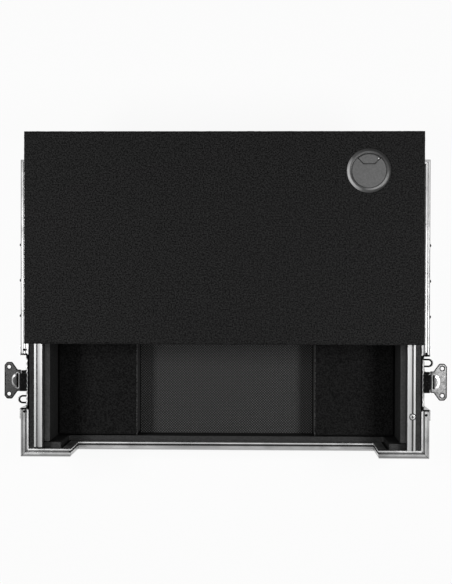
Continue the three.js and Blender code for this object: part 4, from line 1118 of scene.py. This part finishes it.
form = bmesh.new()
for side_name, spot in latch_spots.items():
    bend = [math.pi * (step / LOOP_STEPS - 0.5) for step in range(LOOP_STEPS + 1)]
    wire = arc((LOOP_BEND_MIDDLE, LOOP_FROM_AXIS), LOOP_BEND, bend)
    wire = [(LOOP_ROOT, wire[0][1])] + wire + [(LOOP_ROOT, wire[-1][1])]
    rod(form, [spot @ Vector((x, y, 0)) for x, y in wire], LOOP_WIRE, 12)
    rear = 1 if side_name == "right" else -1
    for end, reach in ((rear, SHADOW_BEAD_REAR), (-rear, SHADOW_BEAD_FRONT)):
        line = [(SHADOW_BEAD_OUT, reach), (SHADOW_BEAD_BACK + SHADOW_BEAD_BEND, reach)]
        bend = [math.pi / 2 * (1 + step / SHADOW_BEAD_STEPS) for step in range(1, SHADOW_BEAD_STEPS + 1)]
        line += arc((SHADOW_BEAD_BACK + SHADOW_BEAD_BEND, reach - SHADOW_BEAD_BEND), SHADOW_BEAD_BEND, bend)
        line.append((SHADOW_BEAD_BACK, reach - SHADOW_BEAD_RUN))
        rod(form, [spot @ Vector((x, end * y, BEAD_RISE)) for x, y in line], SHADOW_BEAD_RADIUS, 10)
rim_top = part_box("rim_left_front")[1].z
for across, along in RIM_NAILS:
    spot = Matrix.Translation((across, along, rim_top - RIM_NAIL_SINK))
    screw_head(form, spot, RIM_NAIL_RADIUS, RIM_NAIL_HEIGHT)
for face in form.faces:
    face.material_index = 0
black_wire = make_piece("padlock_loops_shadow_beads_and_nails", form, black_steel_and_painted_shade)
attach(black_wire, "case")

form = bmesh.new()
for spot in latch_spots.values():
    runs = [WAVE_HALF_LENGTH * (2 * k / WAVE_STEPS - 1) for k in range(WAVE_STEPS + 1)]
    sway = [WAVE_BACK + WAVE_HEIGHT * math.sin(2 * math.pi * run / WAVE_LENGTH) for run in runs]
    rod(form, [spot @ Vector((x, y, BEAD_RISE)) for x, y in zip(sway, runs)], WAVE_WIRE, 8)
wavy_wire = make_piece("dish_wavy_wires", form, dish_zinc)
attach(wavy_wire, "case")

# Latch wings
# The wing is a pressed key that folds flat in the dish; folded out, it turns the drum.
# It has two finger holes, a slot with a raised rim, and a half-round dome pressed up beside the slot.
WING_METAL = 0.002
WING_FACE = 0.0009
WING_TIP = 0.031
WING_HALF_WIDTH = 0.0291
WING_FLARE_END = 0.0191
WING_ROOT_END = 0.0103
WING_ROOT_HALF_WIDTH = 0.0169
WING_NECK_END = 0.005
WING_NECK_HALF_WIDTH = 0.0117
WING_AXIS_REACH = 0.001
WING_CORNER_RUN = 0.004
WING_CORNER_CUT = 0.005
WING_CORNER_ROUNDS = [0, 0, 0.001, 0.002, 0.003, 0.004, 0.003]
WING_HOLE_RADIUS = 0.00375
WING_HOLE_STEPS = 24
WING_OVAL_STEPS = 28
WING_HOLE_REACH = 0.0237
WING_HOLE_FROM_MIDDLE = 0.0213
WING_SEAM_RADIUS = 0.0009
WING_SEAM_SINK = 0.0005
WING_SLOT_REACH = 0.0103
WING_SLOT_HALF_WIDTH = 0.0014
WING_SLOT_HALF_LENGTH = 0.0112
WING_BOSS_HALF_WIDTH = 0.0032
WING_BOSS_HALF_LENGTH = 0.0130
WING_BOSS_HEIGHT = 0.0008
WING_BOSS_SHARES = ((1.0, 0.0), (0.8, 0.8), (0.6, 1.0), (0.4, 0.8), (0.28, 0.0))
WING_DOME_START = 0.0130
WING_DOME_REACH = 0.0072
WING_DOME_HALF_LENGTH = 0.0118
WING_DOME_HEIGHT = 0.0011
WING_DOME_SHARES = ((1.0, 0.0), (0.86, 0.75), (0.6, 1.0), (0.3, 1.05))
WING_DOME_STEPS = 20
WING_SHADE_LEAF_METAL = 0.0004
WING_SHADE_LEAF_LAP = 0.0006
WING_PAINTED_SHADE_END = 0.0092
WING_PAINTED_SHADE_BLEND = 0.0013
WING_PAINTED_SHADE = (0.012, 0.012, 0.013, 1)
WING_BARREL_AND_PIN = ((0.0022, 0.012), (0.0014, 0.015))
BARREL_CROWN_SHARE = 0.15


def oval(middle, half_width, half_length):
    """The corners of a long hole with round ends."""
    turns = [turn + math.pi / WING_OVAL_STEPS for turn in circle_turns(WING_OVAL_STEPS)]
    ends = half_length - half_width
    return [(x, y + math.copysign(ends, y)) for x, y in arc((middle, 0), half_width, turns)]


def moved_in(outline, inset):
    """An outline moved inward all round; it runs anticlockwise."""
    moved = []
    for k, (x, y) in enumerate(outline):
        along = (Vector(outline[(k + 1) % len(outline)]) - Vector(outline[k - 1])).normalized()
        moved.append((x - along.y * inset, y + along.x * inset))
    return moved


def folding_key_steel(name, wall, dark, light):
    """Zinc steel painted near-black towards the hinge of a wing, as painted shade."""
    finish = zinc_steel(name, dark, light, smooth=0.22, rough=0.34)
    shader, bright = base_of(finish)
    shade_edge_noise = mottle(finish, place_on_piece(finish), 400, detail=3)
    edge = amount_node(finish, "MULTIPLY_ADD", shade_edge_noise, WING_PAINTED_SHADE_BLEND * 2, place_along(finish, 0))
    out_of_shade = share_between(finish, edge, wall + WING_PAINTED_SHADE_END, wall + WING_PAINTED_SHADE_END + WING_PAINTED_SHADE_BLEND)
    connect(finish, shader, Base_Color=blended(finish, out_of_shade, WING_PAINTED_SHADE, bright))
    return finish


half = [
    (WING_AXIS_REACH, WING_NECK_HALF_WIDTH),
    (WING_NECK_END, WING_NECK_HALF_WIDTH),
    (WING_NECK_END, WING_ROOT_HALF_WIDTH),
    (WING_ROOT_END, WING_ROOT_HALF_WIDTH),
    (WING_FLARE_END, WING_HALF_WIDTH),
    (WING_TIP - WING_CORNER_RUN, WING_HALF_WIDTH),
    (WING_TIP, WING_HALF_WIDTH - WING_CORNER_CUT),
]
both_halves = [(reach, -across) for reach, across in half] + half[::-1]
wing_outline = rounded_outline(both_halves, WING_CORNER_ROUNDS + WING_CORNER_ROUNDS[::-1])
hole_middles = [(WING_HOLE_REACH, side * WING_HOLE_FROM_MIDDLE) for side in (-1, 1)]
wing_holes = [arc(middle, WING_HOLE_RADIUS, circle_turns(WING_HOLE_STEPS)) for middle in hole_middles]
wing_slot = oval(WING_SLOT_REACH, WING_SLOT_HALF_WIDTH, WING_SLOT_HALF_LENGTH)
# Each wing's steel, boss and dome take their own tones side by side: painted reflection and painted shade,
# dark on the left wing and bright on the right.
wing_painted_reflection_tones = {"left": (0.026, 0.056), "right": (0.02, 0.5)}
boss_painted_reflection_tones = {"left": (0.8, 1.0), "right": (0.6, 1.0)}
dome_painted_reflection_tones = {"left": (0.08, 0.22), "right": (0.85, 1.0)}
wall_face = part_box("right_wall")[1].x
half_circle = [math.pi * (k / WING_DOME_STEPS - 0.5) for k in range(WING_DOME_STEPS + 1)]
for side_name, spot in latch_spots.items():
    form = bmesh.new()
    lower = spot @ Matrix.Translation((0, 0, -WING_METAL / 2))
    cut_plate(form, lower, WING_METAL, wing_outline, [*wing_holes, wing_slot])
    known = set(form.faces)
    # Black rods just inside the outline and round the finger holes are painted shade along the edges.
    for loop in (wing_outline, *wing_holes):
        seam = moved_in(loop, WING_SEAM_RADIUS if loop is wing_outline else 0)
        line = [spot @ Vector((x, y, WING_METAL / 2 - WING_SEAM_SINK)) for x, y in seam + seam[:1]]
        rod(form, line, WING_SEAM_RADIUS, 8)
    second_finish(form, known)
    boss = []
    for share, rise in WING_BOSS_SHARES:
        half_width = WING_SLOT_HALF_WIDTH + (WING_BOSS_HALF_WIDTH - WING_SLOT_HALF_WIDTH) * share
        half_length = WING_SLOT_HALF_LENGTH + (WING_BOSS_HALF_LENGTH - WING_SLOT_HALF_LENGTH) * share
        height = WING_FACE + WING_BOSS_HEIGHT * rise
        ring = oval(WING_SLOT_REACH, half_width, half_length)
        boss.append(added(form, spot, [(x, y, height) for x, y in ring]))
    for ring, inner in zip(boss, boss[1:] + boss[:1]):
        skinned(form, ring, inner, 3)
    dome = []
    for share, rise in WING_DOME_SHARES:
        height = WING_FACE + WING_DOME_HEIGHT * rise
        reach, half_length = WING_DOME_REACH * share, WING_DOME_HALF_LENGTH * share
        bow = [(reach * math.cos(a), half_length * math.sin(a)) for a in half_circle]
        dome.append(added(form, spot, [(WING_DOME_START + x, y, height) for x, y in bow]))
    for bow, inner in zip(dome, dome[1:]):
        skinned(form, bow, inner, 0 if inner is dome[-1] else 2, first=1)
    form.faces.new(dome[-1])
    form.faces.new([bow[0] for bow in dome] + [bow[-1] for bow in dome[::-1]]).material_index = 2
    # A black leaf under the slot makes it read dark: a sheet of painted shade.
    known = set(form.faces)
    slot_shade_leaf = oval(WING_SLOT_REACH, WING_SLOT_HALF_WIDTH + WING_SHADE_LEAF_LAP, WING_SLOT_HALF_LENGTH + WING_SHADE_LEAF_LAP)
    under = spot @ Matrix.Translation((0, 0, -WING_METAL / 2 - WING_SHADE_LEAF_METAL / 2))
    cut_plate(form, under, WING_SHADE_LEAF_METAL, slot_shade_leaf)
    second_finish(form, known)
    lying = spot @ Matrix.Translation((WING_AXIS_REACH, 0, 0)) @ Matrix.Rotation(math.pi / 2, 4, "X")
    for radius, reach in WING_BARREL_AND_PIN:
        crown = radius * BARREL_CROWN_SHARE
        barrel = [(0, -reach), (radius - crown, -reach), (radius, crown - reach)]
        turned(form, barrel + [(spread, -along) for spread, along in barrel[::-1]], lying, 20)
    key_steel = folding_key_steel(side_name + "_wing_steel", wall_face, *wing_painted_reflection_tones[side_name])
    dome_zinc = zinc_steel(side_name + "_dome_zinc", *dome_painted_reflection_tones[side_name])
    boss_zinc = zinc_steel(side_name + "_boss_zinc", *boss_painted_reflection_tones[side_name])
    wing_finishes = (key_steel, black_steel_and_painted_shade, dome_zinc, boss_zinc)
    wing = make_piece(side_name + "_wing_key", form, *wing_finishes, smooth=False)
    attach(wing, side_name + "_latch_wing")
    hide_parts(side_name + "_latch_wing")

# Handle dishes
# A pressed steel dish with a rolled flange lets a sprung handle into each side wall.
# Six rivets hold it, and three more, blackened with dirt, sit above them in the rim.
HANDLE_RIVETS_ACROSS = (-0.0552, 0.0, 0.0552)
HANDLE_RIVET_RISE = 0.041
RIM_RIVET_DROP = 0.0042
RIM_RIVET_RADIUS = 0.0026
RIM_RIVET_HEIGHT = 0.0021

form = bmesh.new()
for side_name, side in (("left", -1), ("right", 1)):
    dish = nodes[side_name + "_handle_dish"]
    recoat(dish, dish_zinc)
    round_edges(dish, DISH_EDGE_ROUND)
    low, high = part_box(side_name + "_handle_dish")
    face = high.x if side > 0 else low.x
    middle = Vector((face, (low.y + high.y) / 2, (low.z + high.z) / 2))
    for rise in (-HANDLE_RIVET_RISE, HANDLE_RIVET_RISE):
        for across in HANDLE_RIVETS_ACROSS:
            rivet_head(form, middle + Vector((0, across, rise)), (side, 0, 0))
rim_form = bmesh.new()
_, rim_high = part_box("rim_right_rear")
handle_middle = sum(corner.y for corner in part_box("right_handle_dish")) / 2
for side in (-1, 1):
    for across in HANDLE_RIVETS_ACROSS:
        spot = Vector((side * rim_high.x, handle_middle + across, rim_high.z - RIM_RIVET_DROP))
        rivet_head(rim_form, spot, (side, 0, 0), RIM_RIVET_RADIUS, RIM_RIVET_HEIGHT)
rim_rivets = make_piece("rim_rivets", rim_form, black_steel_and_painted_shade)
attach(rim_rivets, "case")
handle_rivets = make_piece("handle_dish_rivets", form, bright_zinc)
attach(handle_rivets, "case")

# Handle bails and grips
# Each bail is bent from round steel rod and is held in its dish by two coil springs.
# A ribbed black rubber grip is moulded over the bar that the hand holds.
BAIL_RADIUS = 0.0038
GRIP_RADIUS = 0.0052
GRIP_HALF_LENGTH = 0.037
GRIP_RIBS = 13
GRIP_RIB_DEPTH = 0.0009
GRIP_RIB_STEPS = 6
SPRING_WIRE_RADIUS = 0.0008
SPRING_RADIUS = 0.0052
SPRING_TURNS = 5
SPRING_PITCH = 0.0018
SPRING_POINTS = 20
SPRING_REACH_SHARE = 0.81
SPRING_PRESS = 0.7
GRIP_END_SHARE = 0.75
GRIP_END_SLOPE = 12

for side_name in ("left", "right"):
    bail = nodes[side_name + "_handle_bail"]
    recoat(bail, bright_zinc)
    low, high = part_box(side_name + "_handle_bail")
    middle_y = (low.y + high.y) / 2
    bar = Vector(((low.x + high.x) / 2, middle_y, low.z + BAIL_RADIUS))
    form = bmesh.new()
    profile = [(0, -GRIP_HALF_LENGTH)]
    for step in range(GRIP_RIBS * GRIP_RIB_STEPS + 1):
        share = step / (GRIP_RIBS * GRIP_RIB_STEPS)
        groove = 0.5 - 0.5 * math.cos(2 * math.pi * GRIP_RIBS * share)
        taper = min(1.0, GRIP_END_SLOPE * min(share, 1 - share) + GRIP_END_SHARE)
        radius = taper * (GRIP_RADIUS - GRIP_RIB_DEPTH * (1 - groove))
        profile.append((radius, (2 * share - 1) * GRIP_HALF_LENGTH))
    profile.append((0, GRIP_HALF_LENGTH))
    turned(form, profile, facing(bar, (0, 1, 0)), 24)
    grip = make_piece(side_name + "_handle_grip", form, rubber)
    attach(grip, side_name + "_handle_bail")
    form = bmesh.new()
    for end in (-1, 1):
        out = end * (high.y - low.y) / 2 * SPRING_REACH_SHARE
        start = Vector((bar.x, middle_y + out, high.z - BAIL_RADIUS))
        coil = []
        for step in range(SPRING_TURNS * SPRING_POINTS + 1):
            turn = 2 * math.pi * step / SPRING_POINTS
            along = end * SPRING_PITCH * (step / SPRING_POINTS - SPRING_TURNS / 2) * SPRING_PRESS
            point = Vector((SPRING_RADIUS * math.cos(turn), along, SPRING_RADIUS * math.sin(turn)))
            coil.append(start + point)
        rod(form, coil, SPRING_WIRE_RADIUS, 8)
    springs = make_piece(side_name + "_handle_springs", form, bright_zinc)
    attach(springs, side_name + "_handle_bail")

# Laptop platform
# A board wrapped in black needle-felt carpet slides over the gear on two rails.
# The carpet is glued and turned over every edge, where its pile stands a little proud.
PLATFORM_GRID = 0.0034
PLATFORM_PILE = 0.0005
PLATFORM_FRINGE = 0.0006

platform_carpet = black_carpet("platform_carpet", 0.002, 0.033)
form = copy_of_node(nodes["platform_board"])
cut_into_grid(form, PLATFORM_GRID, axes=(0, 1))
form.normal_update()
for vert in form.verts:
    fuzz = 0.5 + 0.5 * noise.noise(vert.co * PILE_SCALE)
    outward = Vector((vert.normal.x, vert.normal.y, 0))
    vert.co += outward * PLATFORM_FRINGE - vert.normal * PLATFORM_PILE * fuzz
carpet_board = make_piece("platform_carpet_board", form, platform_carpet)
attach(carpet_board, "platform")
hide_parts("platform_board")

# Platform legs
# An aluminium section under each end of the board has a tongue that runs in the rail's groove.
# Its foot slides on the rail, and its top flange lies against the board.
LEG_NODES = ("platform_left_leg", "platform_right_leg")

leg_aluminium = drawn_aluminium("leg_aluminium", 1)
for node_name in LEG_NODES:
    recoat(nodes[node_name], leg_aluminium)
    round_edges(nodes[node_name], RAIL_EDGE_ROUND)

# Cable grommet ring
# A grey plastic liner with a half-round flange is pressed into a hole in the board.
# A bead stiffens its lower end. Its flange carries painted highlight and painted shade round it, lighter
# towards the left on its outer slope and towards the front right on its inner lip.
RING_STEPS = 96
MILLIMETRE = 0.001
RING_BEAD = [(22.4, -22.0), (22.4, -20.8), (25.0, -20.8)]
RING_SEAT = [(25.0, -3.3), (27.2, -3.3), (27.2, 0.45), (26.35, 0.45)]
RING_LIP = [(26.3, 1.2), (26.55, 1.7), (27.1, 2.0), (28.4, 1.95)]
RING_FLANGE = [(30.0, 1.7), (31.5, 1.2), (32.6, 0.55), (33.1, 0.0), (33.2, -0.5)]
RING_SLEEVE = [(29.7, -0.5), (29.7, -22.0)]
RING_SECTION = RING_BEAD + RING_SEAT + RING_LIP + RING_FLANGE + RING_SLEEVE
RING_SMOOTH_RISE = 0.0005
PLASTIC_GRAIN_DEPTH = 0.00006
RING_CREST_RADIUS = 0.0293
RING_CREST_BLEND = 0.0008
RING_OUTER_PAINTED_LIGHT = ((-0.96, -0.28, 0.0), (0.3, 0.02), (0.55, 0.045), (0.78, 0.09), (0.97, 0.5))
RING_INNER_PAINTED_LIGHT = ((0.6, -0.8, 0.0), (0.1, 0.12), (0.4, 0.05), (0.8, 0.08), (0.97, 0.3))


def arrow_node(finish, operation, *arrows):
    """Works one arrow, or its length, out from others."""
    return add_node(finish, "ShaderNodeVectorMath", dict(enumerate(arrows)), operation=operation).outputs


def moulded_plastic(name, dark, light, smooth=0.36, rough=0.5, shine=0.5):
    """Grey moulded plastic with a fine spark-eroded texture."""
    finish, shader = start_finish(name, Specular_IOR_Level=shine)
    place = place_on_piece(finish)
    texture = mottle(finish, place, 2600, detail=2)
    tone = mottle(finish, place, 450, detail=3)
    colour = greys(finish, tone, (0.3, dark), (0.7, light))
    gloss = greys(finish, tone, (0.3, smooth), (0.7, rough))
    grain = raised(finish, texture, PLASTIC_GRAIN_DEPTH)
    connect(finish, shader, Base_Color=colour, Roughness=gloss, Normal=grain)
    return finish


cap_low, cap_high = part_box("grommet_cap")
grommet_middle = Vector(((cap_low.x + cap_high.x) / 2, (cap_low.y + cap_high.y) / 2, cap_high.z))
ring_grey = moulded_plastic("ring_grey", 0.9, 1.0, smooth=0.3, rough=0.4, shine=0.25)
from_middle = arrow_node(ring_grey, "SUBTRACT", place_on_piece(ring_grey), tuple(grommet_middle))["Vector"]
outward = arrow_node(ring_grey, "NORMALIZE", from_middle)["Vector"]
# The flange's colour is multiplied by painted highlight and painted shade, by direction from the middle.
painted_light_sides = []
for direction, *stops in (RING_INNER_PAINTED_LIGHT, RING_OUTER_PAINTED_LIGHT):
    towards = arrow_node(ring_grey, "DOT_PRODUCT", outward, direction)["Value"]
    painted_light_sides.append(greys(ring_grey, share_between(ring_grey, towards, -1.0, 1.0), *stops))
radius = arrow_node(ring_grey, "LENGTH", from_middle)["Value"]
crest = (RING_CREST_RADIUS - RING_CREST_BLEND, RING_CREST_RADIUS + RING_CREST_BLEND)
paint_light_and_shade(ring_grey, blended(ring_grey, share_between(ring_grey, radius, *crest), *painted_light_sides))

form = bmesh.new()
section = [(radius * MILLIMETRE, height * MILLIMETRE) for radius, height in RING_SECTION]
turned(form, section, Matrix.Translation(grommet_middle), RING_STEPS, closed=True)
ring = make_piece("grommet_ring", form, ring_grey)
for face in ring.data.polygons:
    face.use_smooth = face.center.z > grommet_middle.z + RING_SMOOTH_RISE
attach(ring, "platform")
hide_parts("grommet_liner")

# Grommet cap and flap
# A turning cap closes the ring, and a small flap in it swings down for cables; a bright pip at the flap's
# corner is a painted highlight.
# Their tops stand a hair proud of the body under them, painted black as painted shade in the gap, which shows
# only as a dark line round each.
CAP_TOP_RADIUS = 0.0255
CAP_TOP_RISE = 0.0004
FLAP_TOP_RADIUS = 0.0243
FLAP_CHORD = 0.0093
FLAP_CHORD_HALF_WIDTH = 0.0088
FLAP_GAP = 0.0017
GLINT_PLACE = (0.0142, 0.0180)
GLINT_RADIUS = 0.0010
GLINT_HEIGHT = 0.0007
GLINT_SINK = 0.0001
GLINT_SHARES = ((0, 0), (1.0, 0), (0.8, 0.6), (0.4, 1.0), (0, 1.0))

cap_grey = moulded_plastic("cap_grey", 0.092, 0.128)
gap_painted_shade = moulded_plastic("gap_painted_shade", 0.006, 0.012)
for node_name in ("grommet_cap", "grommet_flap"):
    recoat(nodes[node_name], gap_painted_shade)


def chord_and_arc(inset, radius, long_way):
    """The outline of the flap, or of the cap the long way round: a chord, a slant at each end and an arc."""
    chord = FLAP_CHORD + inset
    slant = FLAP_CHORD - FLAP_CHORD_HALF_WIDTH + inset * math.sqrt(2)
    end = (math.sqrt(2 * radius**2 - slant**2) - slant) / 2
    start = math.atan2(end + slant, end)
    sweep = -(math.pi + 2 * start) if long_way else math.pi - 2 * start
    turns = [start + sweep * k / RING_STEPS for k in range(RING_STEPS + 1)]
    return [(slant - chord, chord), (chord - slant, chord)] + arc((0, 0), radius, turns)


for piece_name, body, outline in (
    ("grommet_cap_top", "grommet_cap", chord_and_arc(0, CAP_TOP_RADIUS, True)),
    ("grommet_flap_top", "grommet_flap", chord_and_arc(FLAP_GAP, FLAP_TOP_RADIUS, False)),
):
    form = bmesh.new()
    cut_plate(form, Matrix.Translation(grommet_middle), CAP_TOP_RISE, outline)
    # The bright pip at the flap's corner is a painted highlight.
    if body == "grommet_flap":
        glint_pip = [(GLINT_RADIUS * spread, GLINT_HEIGHT * rise) for spread, rise in GLINT_SHARES]
        spot = grommet_middle + Vector((*GLINT_PLACE, CAP_TOP_RISE - GLINT_SINK))
        known = set(form.faces)
        turned(form, glint_pip, Matrix.Translation(spot), RIVET_STEPS)
        second_finish(form, known)
    top = make_piece(piece_name, form, cap_grey, zinc_steel(piece_name + "_glint", 0.9, 1.0), smooth=False)
    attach(top, body)
